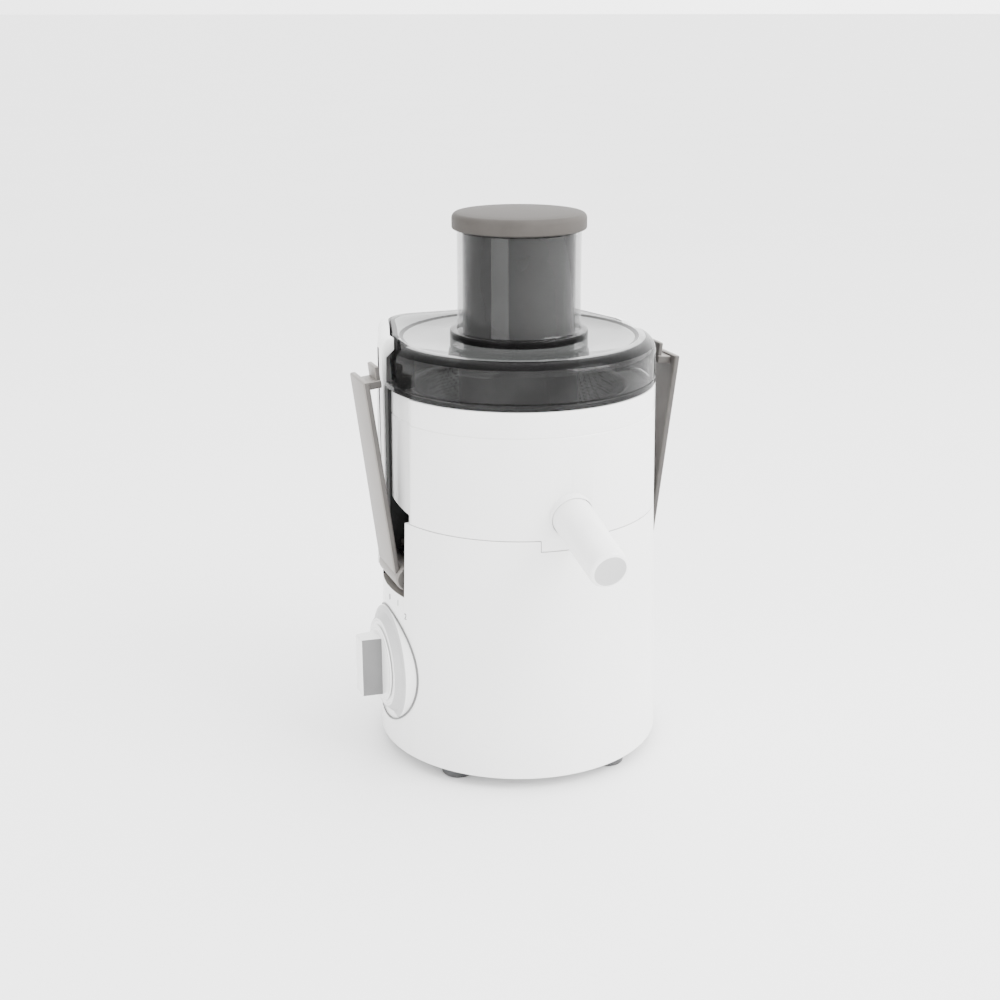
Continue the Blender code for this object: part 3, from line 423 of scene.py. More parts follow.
cut(base, drum_piece(12.8, 12.8, TOP - 1.0, 156.0, sides=64), "UNION")
cut(base, drum_piece(9.0, 9.0, TOP - 10.0, 161.0, sides=64))
cut(base, sector(12.7, R_SEAM - 2.2, R_FOOT + 3.0, SEAM - 6.4, SEAM + 3.0))
LAY_X = Matrix.Translation((0.0, 0.0, DIAL_Z)) @ Matrix.Rotation(math.radians(-90.0), 4, "Y")
cut(base, swing(drum_piece(4.3, 4.3, 60.0, 95.0, sides=32), LAY_X))
for side in (-1, 1):
    lay = Matrix.Translation((side * HINGE_X, 0.0, HINGE_Z)) @ Matrix.Rotation(math.radians(90.0), 4, "X")
    cut(base, swing(drum_piece(PIN, PIN, -POCKET - 1.6, POCKET + 1.6, sides=24), lay))
lay = Matrix.Translation((0.0, 0.0, 126.5)) @ Matrix.Rotation(math.radians(-90.0), 4, "Y")
cut(base, swing(drum_piece(2.3, 2.3, 50.0, 75.0, sides=24), lay))
lay = Matrix.Translation((0.0, 0.0, 32.0)) @ Matrix.Rotation(math.radians(-90.0), 4, "X")
cut(base, swing(drum_piece(6.3, 6.3, 60.0, 95.0, sides=48), lay))
soften(base, 0.7)
smooth(base)
hand_over(base, "base_shell", white, "base", "white_plastic", "base_housing")
# The pockets' faces get painted shade: the dark rubber on their walls, the latch grey on their floors.
base.data.materials.append(rubber)
base.data.materials.append(latch_grey)
for face in base.data.polygons:
    across = abs(face.center.x - AXIS_X) / MM
    along = abs(face.center.y - AXIS_Y) / MM
    back_wall = 64.5 < across < 75.0 and face.center.z / MM > 100.9
    floor_of_pocket = face.normal.z > 0.9 and across > 60.0 and 100.9 < face.center.z / MM < 101.3
    if along < POCKET + 0.1 and (back_wall or floor_of_pocket):
        face.material_index = 1 if back_wall and not floor_of_pocket else 2

# %% [markdown]
# ## The juice bowl
# From outside the bowl is a plain white band that carries on the drum. It is only the front half of a
# ring, so it is turned through a little more than half a circle. A fine groove runs round it under
# the rim. Its two flanks sink by almost 3 mm behind the latches in one soft step: the points there
# are drawn towards the axis by a smooth blend of how far back they lie.

# %% Bowl front
def groove(z, depth):
    return [(drum(z - 0.5), z - 0.5), (drum(z) - depth, z), (drum(z + 0.5), z + 0.5)]


front = [(R_SEAM - 2.5, SEAM), (R_SEAM - 0.4, SEAM), (R_SEAM, SEAM + 0.4)]
front += groove(201.4, 0.45)
front += [(R_RIM, RIM - 0.7), (R_RIM - 0.2, RIM - 0.2), (R_RIM - 0.7, RIM), (R_RIM - 2.2, RIM)]
front += [(R_RIM - 2.4, RIM - 2.2), (CUP - 1.2, RIM - 2.2), (CUP - 1.2, RIM - 4.8)]
front += [(R_RIM - 2.7, RIM - 4.8)]
bowl = lathe(front, steps=150, sweep=186.0, start=-183.0)


SINK_START = 25.0
SINK_LENGTH = 4.5


def sink_flanks(obj, depth):
    for vertex in obj.data.vertices:
        x = vertex.co.x - AXIS_X
        y = vertex.co.y - AXIS_Y
        reach = math.hypot(x, y)
        share = min(1.0, max(0.0, (SINK_START * MM + y) / (SINK_LENGTH * MM)))
        outer = min(1.0, max(0.0, (reach - 0.064) / 0.008))
        pull = depth * MM * share * share * (3.0 - 2.0 * share) * outer
        vertex.co.x -= x / reach * pull
        vertex.co.y -= y / reach * pull


sink_flanks(bowl, 2.8)
print("bowl front faces", len(bowl.data.polygons))

# %% [markdown]
# A short tab hangs from the bowl's front edge into the notch in the base, so that the bowl only goes
# on one way round. Low on each flank a slanted opening clears the latch's pocket.

# %% Bowl tab, flank openings and spout hole
def spout_place():
    direction = Vector((0.0, -math.cos(SPOUT_SLOPE), -math.sin(SPOUT_SLOPE)))
    turn = Vector((0.0, 0.0, 1.0)).rotation_difference(direction).to_matrix().to_4x4()
    return Matrix.Translation(Vector(SPOUT_ROOT)) @ turn


cut(bowl, sector(12.4, R_SEAM - 1.9, R_SEAM - 0.15, SEAM - 6.0, SEAM + 4.0), "UNION")
for side in (-1, 1):
    near, far = sorted((side * 68.0, side * 100.0))
    wedge = block((near, 0.4 - POCKET, SEAM - 5.0), (far, 12.0, SEAM + 10.0))
    for vertex in wedge.data.vertices:
        if vertex.co.z > at(0, 0, SEAM).z and vertex.co.y < at(0, 0, 0).y:
            vertex.co.z -= 6.4 * MM
    cut(bowl, wedge)
cut(bowl, swing(drum_piece(SPOUT_HOLE, SPOUT_HOLE, -9.0, 12.0, sides=64), spout_place()))
soften(bowl, 0.35, 2)
smooth(bowl)
hand_over(bowl, "bowl_front", white, "bowl", "white_plastic", "juice_bowl")

# %% [markdown]
# A dark rubber strip runs down each flank between the bowl and the pulp container. It closes the
# parting from the lid down to the latch's pocket. Its dark is partly painted shade: it also stands in
# for the shade deep in that parting.

# %% Edge strips
for side, name in ((-1, "left"), (1, "right")):
    near, far = sorted((side * 65.5, side * 75.5))
    strip = block((near, 4.35, 121.0), (far, 12.0, RIM - 0.4))
    soften(strip, 0.8, 3)
    smooth(strip)
    hand_over(strip, name + "_edge_strip", rubber, "bowl", "rubber", name + "_edge_seal")

# %% [markdown]
# Inside, a round cup catches the juice. Its floor rises to a collar round the motor's shaft and drains
# towards the spout. It is a plain turned piece, so one outline makes it. The exact solver loses this
# cut, whose cylinder grazes the cup's sloping floor, so the manifold solver makes it.

# %% Juice cup
cup = lathe([
    (60.9, RIM - 2.2), (60.0, RIM - 3.2), (60.0, 154.0), (58.5, 153.4), (15.8, 155.6), (15.8, 162.0),
    (13.3, 162.0), (13.3, 151.4), (57.0, 151.2), (62.4, 158.0), (62.4, RIM - 5.0), (62.0, RIM - 2.2),
])
drain = swing(drum_piece(SPOUT_HOLE, SPOUT_HOLE, -25.0, 12.0, sides=48), spout_place())
cut(cup, drain, solver="MANIFOLD")
smooth(cup)
hand_over(cup, "juice_cup", white_matt, "bowl", "white_plastic")

# %% [markdown]
# ## The spout
# The spout is a round nozzle that slopes down and ends in a closed, slightly rounded face; juice
# leaves through a mouth underneath. It is turned like the other round pieces, then swung to its slope.
# Its flat end face has a darker white, which stands in for the shade that it lies in.

# %% Spout
END = 51.0
outline = [(8.4, -14.0), (10.2, -14.0), (11.4, -10.0), (11.4, 3.0)]
outline += arc(10.9 - 2.6, END - 2.6, 2.6, 8.0, 90.0, 7)
outline += [(0.02, END), (0.02, END - 2.0), (8.2, END - 2.0), (9.4, 4.0)]
spout = lathe(outline, steps=96)
swing(spout, spout_place())
tip = spout_place() @ Vector((0.0, 0.0, END - 11.0))
cut(spout, drum_piece(7.0, 7.0, tip.z - 25.0, tip.z, tip.x, tip.y, sides=48))
smooth(spout)
hand_over(spout, "spout_nozzle", white, "spout", "white_plastic", "spout")
# The end face gets the darker white as painted shade.
spout.data.materials.append(shade_white)
forward = spout_place().to_3x3() @ Vector((0.0, 0.0, 1.0))
for face in spout.data.polygons:
    if face.normal.dot(forward) > 0.96:
        face.material_index = 1

# %% [markdown]
# A collar is moulded on the bowl where the spout passes through it: a low ring that closes the gap
# round the spout.

# %% Spout collar
collar = lathe([(11.7, -6.0), (12.3, -6.0), (12.3, 0.2), (12.1, 0.7), (11.7, 0.7)], steps=96)
swing(collar, spout_place())
smooth(collar)
hand_over(collar, "spout_collar", white, "bowl", "white_plastic")

# %% [markdown]
# ## Outlines that are part circle, part box
# The pulp container and the back of the lid aren't round. Seen from above the container is the body's
# circle run into two corner circles by straight flanks. No primitive gives that, so its rings are laid
# by their angle: for each direction from the axis a function says how far out the wall is.

# %% The container's outline
CORNER = (39.5, 61.0, 23.5)
BIG = R_RIM + 2.3
FLAT_X = 76.2
FLAT_Y = 22.5


def outline_reach(angle):
    across = abs(math.cos(math.radians(angle)))
    back = math.sin(math.radians(angle))
    if back <= 0.0:
        return BIG
    cx, cy, radius = CORNER
    along = cx * across + cy * back
    off = cx ** 2 + cy ** 2 - along ** 2
    reach = BIG
    if off < radius ** 2:
        reach = max(reach, along + math.sqrt(radius ** 2 - off))
    direction = math.degrees(math.atan2(back, across))
    if direction > math.degrees(math.atan2(cy + radius, cx)):
        reach = max(reach, (cy + radius) / back)
    normal = math.atan2(cy, cx) - math.pi / 2 - math.asin((radius - BIG) / math.hypot(cx, cy))
    end = math.atan2(cy + radius * math.sin(normal), cx + radius * math.cos(normal))
    if math.degrees(normal) <= direction <= math.degrees(end):
        reach = max(reach, BIG / (across * math.cos(normal) + back * math.sin(normal)))
    return reach


def container_reach(inset):
    def reach(angle):
        out = outline_reach(angle) - inset
        if R_RIM * math.sin(math.radians(angle)) < FLAT_Y:
            out = min(out, (FLAT_X - max(0.0, inset)) / abs(math.cos(math.radians(angle)) or 1e-6))
        return out

    return reach


print("container reach at 0, 57, 90 degrees:", [round(outline_reach(a), 2) for a in (0, 57, 90)])

# %% [markdown]
# The rings are skinned from bottom to top. This is the one shape that is laid point by point instead
# of being pushed out of a primitive; everything after it is cut and bevelled in the usual way.

# %% Helper for skinning rings
def flank_angles(*distances):
    turns = [math.degrees(math.asin(d / R_RIM)) for d in distances]
    return turns + [180.0 - t for t in turns]


def spread(count, extra=()):
    angles = {round(360.0 * i / count, 4) for i in range(count)}
    angles.update(round(a % 360.0, 4) for a in extra)
    return sorted(angles)


def skin(rings, angles, closed):
    mesh = bpy.data.meshes.new("skin")
    points = []
    for reach, z in rings:
        for angle in angles:
            r = reach(angle) if callable(reach) else reach
            turn = math.radians(angle)
            points.append(at(r * math.cos(turn), r * math.sin(turn), z))
    n = len(angles)
    pairs = [(k, k + 1) for k in range(len(rings) - 1)]
    faces = []
    if closed:
        pairs.append((len(rings) - 1, 0))
    else:
        faces += [list(range(n)), list(range((len(rings) - 1) * n, len(rings) * n))]
    for a, b in pairs:
        faces += [(a * n + i, a * n + (i + 1) % n, b * n + (i + 1) % n, b * n + i) for i in range(n)]
    mesh.from_pydata(points, [], faces)
    obj = bpy.data.objects.new("skin", mesh)
    bpy.context.scene.collection.objects.link(obj)
    only(obj)
    bpy.ops.object.mode_set(mode="EDIT")
    bpy.ops.mesh.select_all(action="SELECT")
    bpy.ops.mesh.normals_make_consistent(inside=False)
    bpy.ops.object.mode_set(mode="OBJECT")
    return obj


print("skinning ready")

# %% [markdown]
# ## The pulp container
# A deep white box bent round the back of the juicer, open at the top where the lid drops in. Its rim
# is thick and generously rounded. Outside, rings with a quarter-round at the top make the body; a
# second set of rings, smaller by the wall, is taken out of it.

# %% Container, outside
turns = spread(160, flank_angles(10.9, FLAT_Y - 0.02, FLAT_Y + 1.2))
flare = (R_FOOT - R_RIM) * 0.55
BEND = 6.0
rings = [(container_reach(0.5 - flare), SHELF), (container_reach(-flare), SHELF + 0.6)]
for i in range(13):
    turn = math.radians(7.5 * i)
    rings.append((container_reach(BEND * (1.0 - math.cos(turn))), LID_TOP - BEND * (1.0 - math.sin(turn))))
box = skin(rings, turns, closed=False)
cut(box, drum_piece(CUP + 1.0, CUP + 1.0, SHELF - 5.0, LID_TOP + 5.0))
cut(box, block((-140.0, -140.0, 50.0), (140.0, 12.4, 260.0)))
cut(box, block((-140.0, 0.0, 50.0), (140.0, 27.0, HINGE_SHELF)))

# %% Container, inside
inner = skin([
    (container_reach(2.4 - flare), SHELF + 2.4), (container_reach(2.4), LID_TOP - BEND - 4.5),
    (container_reach(7.0), LID_TOP - BEND - 0.5), (container_reach(7.0), LID_TOP + 5.0),
], turns, closed=False)
cut(inner, drum_piece(CUP + 3.4, CUP + 3.4, SHELF - 5.0, RIM - 2.8))
cut(inner, block((-140.0, -140.0, 50.0), (140.0, 14.8, RIM - 2.8)))
cut(inner, block((-140.0, 0.0, 50.0), (140.0, 29.4, HINGE_SHELF + 2.4)))
cut(box, inner)
soften(box, 0.6, 3, 50.0)
smooth(box, 38.0)
hand_over(box, "container_shell", white, "container", "white_plastic", "pulp_container")

# %% [markdown]
# ## The lid
# The front of the lid is a flat plate with a round shoulder that carries on the body's drum; the back
# sits down inside the container's rim. On each side a notch with a flat ledge takes a latch's hook.
# The same skinning makes it, as one thin closed wall with a hole in the middle for the feed tube. A
# shallow step runs round the top plate, just inside the shoulder.

# %% Lid cover
NOTCH = (-12.0, 10.0, 67.5)
FRONT = R_RIM - 0.05
SHOULDER = 8.2
LEDGE = 219.3
PLATE = 66.8


def lid_reach(inset, notched, round_off=0.0):
    def reach(angle):
        y = R_RIM * math.sin(math.radians(angle))
        across = abs(math.cos(math.radians(angle))) or 1e-6
        if y < 4.1:
            out = FRONT - inset - round_off
        else:
            out = container_reach(7.5)(angle) - inset - round_off * 0.15
        if notched and NOTCH[0] < y < NOTCH[1]:
            out = min(out, (NOTCH[2] - inset) / across)
        return out

    return reach


def plate_reach(radius, inset):
    shoulder = lid_reach(0.2 + inset, True, SHOULDER)
    return lambda angle: min(radius, shoulder(angle))


def border_reach(angle):
    border = 2.6 if R_RIM * math.sin(math.radians(angle)) > 12.0 else 0.15
    return max(plate_reach(PLATE, 0.3)(angle) + 0.12, lid_reach(0.2, True, SHOULDER)(angle) - border)


low = RIM + 0.3
rings = [(lid_reach(0.5, False), low), (lid_reach(0.0, False), low + 0.5)]
rings += [(lid_reach(0.0, False), LEDGE - 0.2), (lid_reach(0.3, False), LEDGE)]
rings += [(lid_reach(0.6, True), LEDGE + 0.1), (lid_reach(0.2, True), LEDGE + 0.6)]
for i in range(13):
    turn = math.radians(7.5 * i)
    taken = SHOULDER * (1.0 - math.cos(turn))
    rings.append((lid_reach(0.2, True, taken), LID_TOP - SHOULDER * (1.0 - math.sin(turn))))
rings += [(border_reach, LID_TOP), (plate_reach(PLATE, 0.3), LID_TOP)]
rings += [(plate_reach(64.6, 2.5), LID_TOP - 0.9)]
rings += [(TUBE - 1.5, LID_TOP - 0.9), (TUBE - 1.5, LID_TOP - 2.6)]
for i in range(9):
    turn = math.radians(90.0 - 11.25 * i)
    rings.append((lid_reach(2.8, True, SHOULDER * (1.0 - math.cos(turn)) * 0.9),
                  LID_TOP - 2.6 - (SHOULDER - 2.6) * (1.0 - math.sin(turn))))
rings += [(lid_reach(2.8, True), LEDGE - 1.0), (lid_reach(2.4, False), LEDGE - 1.8)]
rings += [(lid_reach(2.4, False), low)]
edge = 0.02
turns = spread(180, flank_angles(
    NOTCH[0] - edge, NOTCH[0] + edge, 4.0, 4.2, NOTCH[1] - edge, NOTCH[1] + edge, FLAT_Y - edge,
    FLAT_Y + 1.2,
))
cover = skin(rings, turns, closed=True)
print("cover faces", len(cover.data.polygons))

# %% [markdown]
# The feed tube stands on a low collar and reaches down to just above the grater, so that food can't
# slip past it. It is turned, then joined to the cover in one Boolean union, which leaves no doubled
# wall inside the clear plastic.

# %% Feed tube and the finished lid
bore = TUBE - 3.0
tube = [(TUBE - 0.8, LID_TOP - 1.2), (38.6, LID_TOP - 1.2), (38.6, LID_TOP + 1.6)]
tube += arc(37.2, LID_TOP + 1.8, 1.4, 0.0, 90.0, 4)
tube += [(TUBE + 0.6, LID_TOP + 3.3), (TUBE, LID_TOP + 4.6), (TUBE, CAP_LOW - 1.4)]
tube += arc(TUBE - 0.7, CAP_LOW - 1.4, 0.7, 0.0, 90.0, 4)
tube += [(bore + 0.6, CAP_LOW - 0.7), (bore, CAP_LOW - 1.4), (bore, 172.5), (TUBE - 0.8, 172.5)]
cut(cover, lathe(tube, steps=128), "UNION")
smooth(cover)
hand_over(cover, "clear_lid", smoke, "lid", "smoky_plastic", "lid")
cover.data.materials.append(smoke_painted_reflection)
cover.data.materials.append(smoke_painted_shade)
cover.data.materials.append(smoke_tube)
# Faces are sorted by place: the top plate gets the painted reflection; the rear edge, the shoulder's
# slopes, the bottom rim and the tube's collar ring get the painted shade; the tube above the lid gets its
# own tint.
for face in cover.data.polygons:
    out = math.hypot(face.center.x - AXIS_X, face.center.y - AXIS_Y) / MM
    level = face.center.z / MM
    back = (face.center.y - AXIS_Y) / MM
    turn = math.degrees(math.atan2(face.center.y - AXIS_Y, face.center.x - AXIS_X))
    if level > LID_TOP - 0.2 and back > 12.0 and out > 67.0 and container_reach(7.5)(turn) - out < 3.2:
        face.material_index = 2
    elif level > LID_TOP - 3.0 and out > 39.5 and abs(face.normal.z) > 0.975:
        face.material_index = 1
    elif level > LID_TOP - 1.0 and out > 50.0 and face.normal.z > 0.9:
        face.material_index = 2
    elif (out > 60.0 and 0.45 < face.normal.z < 0.9) or level < RIM + 1.6 and out > 60.0:
        face.material_index = 2
    elif 38.2 < out < 38.9 and level > LID_TOP - 2.0:
        face.material_index = 2
    elif out < 36.0 and level > LID_TOP + 3.0:
        face.material_index = 3

# %% [markdown]
# ## The pusher
# A deep tinted cup that fills the feed tube, with a thick grey disc on top for the hand. The disc's
# edge is rounded and its face swells slightly.

# %% Pusher and cap
wall = [(2.0, 184.0), (27.1, 184.0), (28.5, 190.0), (28.5, CAP_LOW - 0.3), (30.7, CAP_LOW - 0.3),
        (29.2, 182.0), (26.7, 181.0), (0.05, 181.0), (0.05, 184.0)]
pusher = lathe(wall, steps=128)
smooth(pusher)
hand_over(pusher, "pusher_cup", smoke_deep, "pusher", "smoky_plastic", "pusher")
disc = [(0.02, CAP_LOW - 4.0), (27.8, CAP_LOW - 4.0), (28.0, CAP_LOW), (36.0, CAP_LOW)]
disc += arc(36.0, CAP_LOW + 1.1, 1.1, -70.0, 0.0, 4)
disc += arc(34.0, CAP_LOW + 5.8, 3.1, 0.0, 78.0, 8)
disc += [(28.0, CAP_LOW + 9.3), (20.0, CAP_LOW + 9.65), (10.0, CAP_LOW + 9.85), (0.02, CAP_LOW + 9.9)]
cap = lathe(disc, steps=128)
smooth(cap, 40.0)
hand_over(cap, "pusher_disc", cap_grey, "pusher", "grey_plastic", "pusher_cap")

# %% [markdown]
# ## The latches
# Each latch is a long tapered lever on a barrel at its foot. At its top an arm reaches in over the
# lid's ledge, with a fin that the thumb can feel. The lever starts as a block: its top face is pulled
# narrower, then barrel, arm and fin are joined to it. It is modelled shut and swung open by 7 degrees
# about its pin, which is how the juicer stands here. Its outside is pale. Its edges and its inner side
# have a darker tone, which stands in for the shade they lie in; the real lever is taken to be one grey.

# %% One latch, then its mirror
LATCH_HALF = 17.8
LATCH_TOP_HALF = 14.0
LATCH_FOOT_HALF = 15.5
BARREL = 7.2
SWUNG_OPEN = math.radians(7.0)


def latch_piece(side):
    lever = block((77.1, -LATCH_HALF, HINGE_Z + 4.0), (80.6, LATCH_HALF, 225.6))
    middle = at(0, 0, 170).z
    for vertex in lever.data.vertices:
        if vertex.co.z > middle:
            vertex.co.y = AXIS_Y + (vertex.co.y - AXIS_Y) * LATCH_TOP_HALF / LATCH_HALF
        else:
            vertex.co.y = AXIS_Y + (vertex.co.y - AXIS_Y) * LATCH_FOOT_HALF / LATCH_HALF
            vertex.co.x -= 0.9 * MM
    soften(lever, 1.1, 4)
    lay = Matrix.Translation((HINGE_X, 0.0, HINGE_Z)) @ Matrix.Rotation(math.radians(90.0), 4, "X")
    barrel = swing(drum_piece(BARREL, BARREL, -LATCH_HALF, LATCH_HALF, sides=64), lay)
    soften(barrel, 1.4, 4)
    cut(lever, barrel, "UNION")
    arm = block((69.2, -9.0, 219.7), (79.6, 7.0, 224.1))
    soften(arm, 0.8, 3)
    cut(lever, arm, "UNION")
    fin = block((69.2, -8.0, 220.7), (71.9, 6.0, 231.6))
    soften(fin, 0.9, 3)
    cut(lever, fin, "UNION")
    cut(lever, swing(drum_piece(PIN, PIN, -30.0, 30.0, sides=32), lay))
    pin = Vector((HINGE_X, 0.0, HINGE_Z))
    turn = Matrix.Rotation(SWUNG_OPEN, 4, "Y")
    swing(lever, Matrix.Translation(pin) @ turn @ Matrix.Translation(-pin))
    if side < 0:
        swing(lever, Matrix.Scale(-1.0, 4, Vector((1.0, 0.0, 0.0))))
        lever.data.flip_normals()
    return smooth(lever, 30.0)


for side, name in ((-1, "left_latch"), (1, "right_latch")):
    lever = hand_over(latch_piece(side), name + "_lever", latch_grey, name, "latch_plastic", name)
    lever.data.materials.append(latch_shade)
    for face in lever.data.polygons:
        if side * face.normal.x < 0.3 and face.normal.z < 0.6:
            face.material_index = 1

# %% [markdown]
# ## The speed control
# A round stepped boss stands out of the side wall and a knob turns on it. Both are turned pieces laid
# on their side. The knob is a thin disc with a bar to grip; the bar's long edges are rounded. The
# boss's cone and the bar's sides have darker tones, which stand in for their shade.

# %% Boss under the knob
BOSS_FACE = 84.6
boss = [(4.4, 60.0), (33.0, 60.0), (33.0, 79.0)]
boss += arc(32.2, 79.6, 0.8, 0.0, 60.0, 4)
boss += [(29.8, 81.0), (29.2, 81.0), (27.4, 82.6)]
boss += arc(25.4, BOSS_FACE - 1.2, 1.2, 40.0, 90.0, 5)
boss += [(24.6, BOSS_FACE), (24.2, BOSS_FACE - 0.5), (23.8, BOSS_FACE), (4.4, BOSS_FACE)]
bezel = swing(lathe(boss, steps=128), LAY_X)
body_space = drum_piece(drum(FOOT - 2.0) + 0.3, drum(SEAM) + 0.3, FOOT - 2.0, SEAM)
cut(bezel, body_space)
smooth(bezel, 25.0)
hand_over(bezel, "knob_boss", white, "base", "white_plastic", "dial_bezel")
# The cone between the boss's steps gets the darker white as painted shade.
bezel.data.materials.append(shade_white)
for face in bezel.data.polygons:
    out = math.hypot(face.center.y - AXIS_Y, face.center.z - DIAL_Z * MM) / MM
    if 25.0 < out < 31.5 and face.normal.x < -0.2:
        face.material_index = 1

# %% [markdown]
# Where the boss meets the wall a fine grey ring is painted shade: it stands in for the shade line at
# the boss's foot. It follows the wall's curve: a tube of the right diameter is kept only where it lies
# between a quarter and three quarters of a millimetre outside the drum.

# %% Ring at the foot of the boss
ring = swing(lathe([(33.15, 60.0), (34.0, 60.0), (34.0, 90.0), (33.15, 90.0)], steps=128), LAY_X)
cut(ring, drum_piece(drum(FOOT - 2.0) + 0.75, drum(SEAM) + 0.75, FOOT - 2.0, SEAM), "INTERSECT")
cut(ring, drum_piece(drum(FOOT - 2.0) + 0.25, drum(SEAM) + 0.25, FOOT - 2.0, SEAM))
smooth(ring, 25.0)
# The ring is grey as painted shade.
hand_over(ring, "boss_shade_ring", shade_grey, "base", "white_plastic")

# %% Knob and its grip
GRIP_HALF = 7.0
GRIP_OUTER_HALF = 5.7
disc = [(0.02, 85.0), (21.4, 85.0), (22.0, 85.4), (21.6, 86.1), (20.6, 86.2), (20.2, 86.0), (19.8, 86.2),
        (0.02, 86.2)]
knob = swing(lathe(disc, steps=128), LAY_X)
grip = block((-98.4, -GRIP_HALF, DIAL_Z - 17.5), (-85.6, GRIP_HALF, DIAL_Z + 17.5))
outer = at(-92.0, 0, 0).x
for vertex in grip.data.vertices:
    if vertex.co.x < outer:
        vertex.co.y = AXIS_Y + (vertex.co.y - AXIS_Y) * GRIP_OUTER_HALF / GRIP_HALF
soften(grip, 1.2, 4)
cut(knob, grip, "UNION")
smooth(knob, 35.0)
hand_over(knob, "knob_grip", white, "knob", "white_plastic", "speed_knob")
# The grip's sides get grey as painted shade.
knob.data.materials.append(shade_grey)
for face in knob.data.polygons:
    if abs(face.normal.y) > 0.3 and abs(face.normal.x) < 0.35 and face.center.x < at(-86.4, 0, 0).x:
        face.material_index = 1

# %% [markdown]
# ## Feet
# Four rubber feet, each a short turned button with a rounded tread.

# %% Feet
for index, angle in enumerate((-51.0, 27.0, 129.0, 207.0)):
    turn = math.radians(angle - 90.0)
    tread = [(0.02, 0.0), (7.6, 0.0)] + arc(7.6, 1.6, 1.6, -80.0, 0.0, 5)
    tread += [(9.5, 5.0), (9.5, 9.7), (0.02, 9.7)]
    shoe = lathe(tread, steps=48)
    swing(shoe, Matrix.Translation((69.0 * math.cos(turn), 69.0 * math.sin(turn), 0.0)))
    smooth(shoe)
    hand_over(shoe, f"rubber_foot_{index + 1}", foot_rubber, "base", "rubber", f"foot_{index + 1}")

# %% [markdown]
# ## Marks round the knob
# Small grey marks on the wall show where the knob points: off, slow and fast. Each is a numeral laid
# flat on the wall, just proud of it, turned to face straight out of the drum.

# %% Numerals
def wall_place(angle, z):
    """A point on the wall, with X along the wall, Y up it and Z straight out."""
    turn = math.radians(angle)
    out = Vector((math.sin(turn), -math.cos(turn), 0.0))
    along = Vector((0.0, 0.0, 1.0)).cross(out)
    lean = Vector((0.0, 0.0, 1.0)) - out * ((R_FOOT - R_SEAM) / (SEAM - FOOT))
    lean.normalize()
    normal = along.cross(lean)
    spin = Matrix((along, lean, normal)).transposed().to_4x4()
    r = drum(z) + 0.02
    return Matrix.Translation(at(out.x * r, out.y * r, z)) @ spin


def numeral(text, angle, z, size):
    start_clean()
    bpy.ops.object.text_add(location=(0.0, 0.0, 0.0))
    obj = bpy.context.object
    obj.data.body = text
    obj.data.size = size * MM
    obj.data.align_x = "CENTER"
    obj.data.align_y = "CENTER"
    obj.data.extrude = 0.00008
    bpy.ops.object.convert(target="MESH")
    obj = bpy.context.object
    obj.data.transform(wall_place(angle, z))
    return obj


for text, angle, z in (("0", -88.5, 95.0), ("1", -80.0, 95.5), ("2", -74.0, 90.0)):
    hand_over(numeral(text, angle, z, 5.0), "mark_" + text, mark_grey, "base", "white_plastic")

# %% [markdown]
# ## Inside the juicer
# The motor, the brushes and the basket keep the shapes of the frame. They only need believable metals
# and plastics, given by name. Smoothed copies aren't needed there: most of it can't be seen.

# %% Finishes for the pieces that stay as they are
KEEP = {
    steel: ("base_screw_1", "base_screw_2", "base_screw_3", "base_screw_4", "motor_shaft", "lower_bearing",
            "upper_bearing", "grater_disc", "left_hinge_pin", "right_hinge_pin"),
    strainer: ("filter_basket",),
    iron: ("motor_stator", "armature_core", "lower_bracket", "upper_bracket"),
    copper: ("commutator", "field_coil_left", "field_coil_right"),
    black: ("cooling_fan", "brush_holder_left", "brush_holder_right", "carbon_brush_left",
            "carbon_brush_right", "drive_coupling", "knob_shaft", "rotary_switch", "interlock_switch",
            "basket_hub"),
    rubber: ("cord_inlet_bush", "motor_mount_front", "motor_mount_rear", "shaft_seal"),
    white_matt: ("base_plate",),
    cap_grey: ("interlock_plunger",),
}
for material, names in KEEP.items():
    for name in names:
        node = frame["nodes"][name]
        for i in range(len(node.material_slots)):
            node.material_slots[i].material = material
print("kept nodes", sum(len(names) for names in KEEP.values()))

# %% [markdown]
# ## Studio
# A white product stands on a white sweep: a big pale floor, a white surround, a large soft light high
# on the right, a weaker one on the left and a third overhead. White on white needs its shading, so the
# surround grows dimmer towards the left, and the left flank with the knob keeps its shadows.

# %% Floor and light
start_clean()
bpy.ops.mesh.primitive_plane_add(size=400.0, location=(0.0, 0.0, 0.0))
floor = bpy.context.object
floor.name = "studio_floor"
floor_paint = finish("floor_paint", (0.86, 0.86, 0.86), (0.88, 0.88, 0.88), (0.6, 0.7), 3.0, 0.0)
floor.data.materials.append(floor_paint)

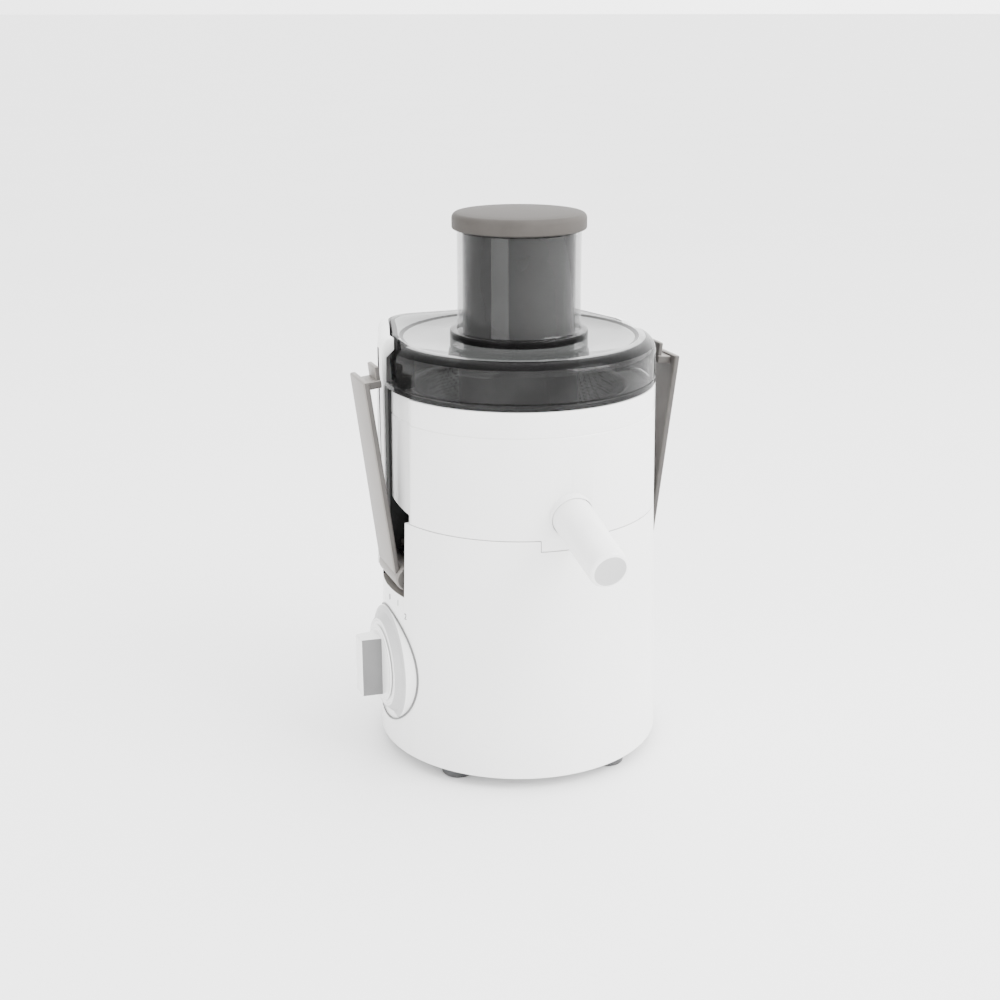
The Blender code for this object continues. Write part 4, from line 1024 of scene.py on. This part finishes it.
world = bpy.data.worlds.new("studio")
world.use_nodes = True
room = world.node_tree.nodes["Background"]
room.inputs["Color"].default_value = (1.0, 1.0, 1.0, 1.0)
direction = world.node_tree.nodes.new("ShaderNodeTexCoord")
parts = world.node_tree.nodes.new("ShaderNodeSeparateXYZ")
side_light = world.node_tree.nodes.new("ShaderNodeMapRange")
side_light.inputs["From Min"].default_value = -0.9
side_light.inputs["From Max"].default_value = 0.7
side_light.inputs["To Min"].default_value = 1.6
side_light.inputs["To Max"].default_value = 5.2
world.node_tree.links.new(direction.outputs["Generated"], parts.inputs["Vector"])
world.node_tree.links.new(parts.outputs["X"], side_light.inputs["Value"])
world.node_tree.links.new(side_light.outputs["Result"], room.inputs["Strength"])
bpy.context.scene.world = world


def softbox(name, place, target, size, power):
    light = bpy.data.lights.new(name, "AREA")
    light.shape = "RECTANGLE"
    light.size = size[0]
    light.size_y = size[1]
    light.energy = power
    obj = bpy.data.objects.new(name, light)
    bpy.context.scene.collection.objects.link(obj)
    obj.location = place
    obj.rotation_euler = (Vector(target) - Vector(place)).to_track_quat("-Z", "Y").to_euler()
    return obj


softbox("key_light", (0.9, -0.9, 1.1), (0.0, 0.0, 0.15), (0.9, 0.9), 30.0)
softbox("fill_light", (-1.1, -0.7, 0.6), (0.0, 0.0, 0.2), (0.8, 1.2), 11.0)
softbox("top_light", (0.0, 0.3, 1.4), (0.0, 0.0, 0.2), (1.0, 1.0), 8.0)
print("studio ready")

# %% [markdown]
# ## Camera
# The camera stands a little to the left of the front, above the lid, and looks down by 18 degrees.

# %% Camera
lens = bpy.data.cameras.new("camera")
lens.lens = 53.6
lens.sensor_width = 36.0
lens.shift_x = -0.0037
lens.clip_start = 0.01
camera = bpy.data.objects.new("camera", lens)
bpy.context.scene.collection.objects.link(camera)
camera.location = at(-301.6, -762.0, 412.3)
down = math.radians(18.18)
heading = math.radians(21.0)
look = Vector((math.sin(heading) * math.cos(down), math.cos(heading) * math.cos(down), -math.sin(down)))
camera.rotation_euler = look.to_track_quat("-Z", "Y").to_euler()
bpy.context.scene.camera = camera
print("camera at", [round(v, 4) for v in camera.location])
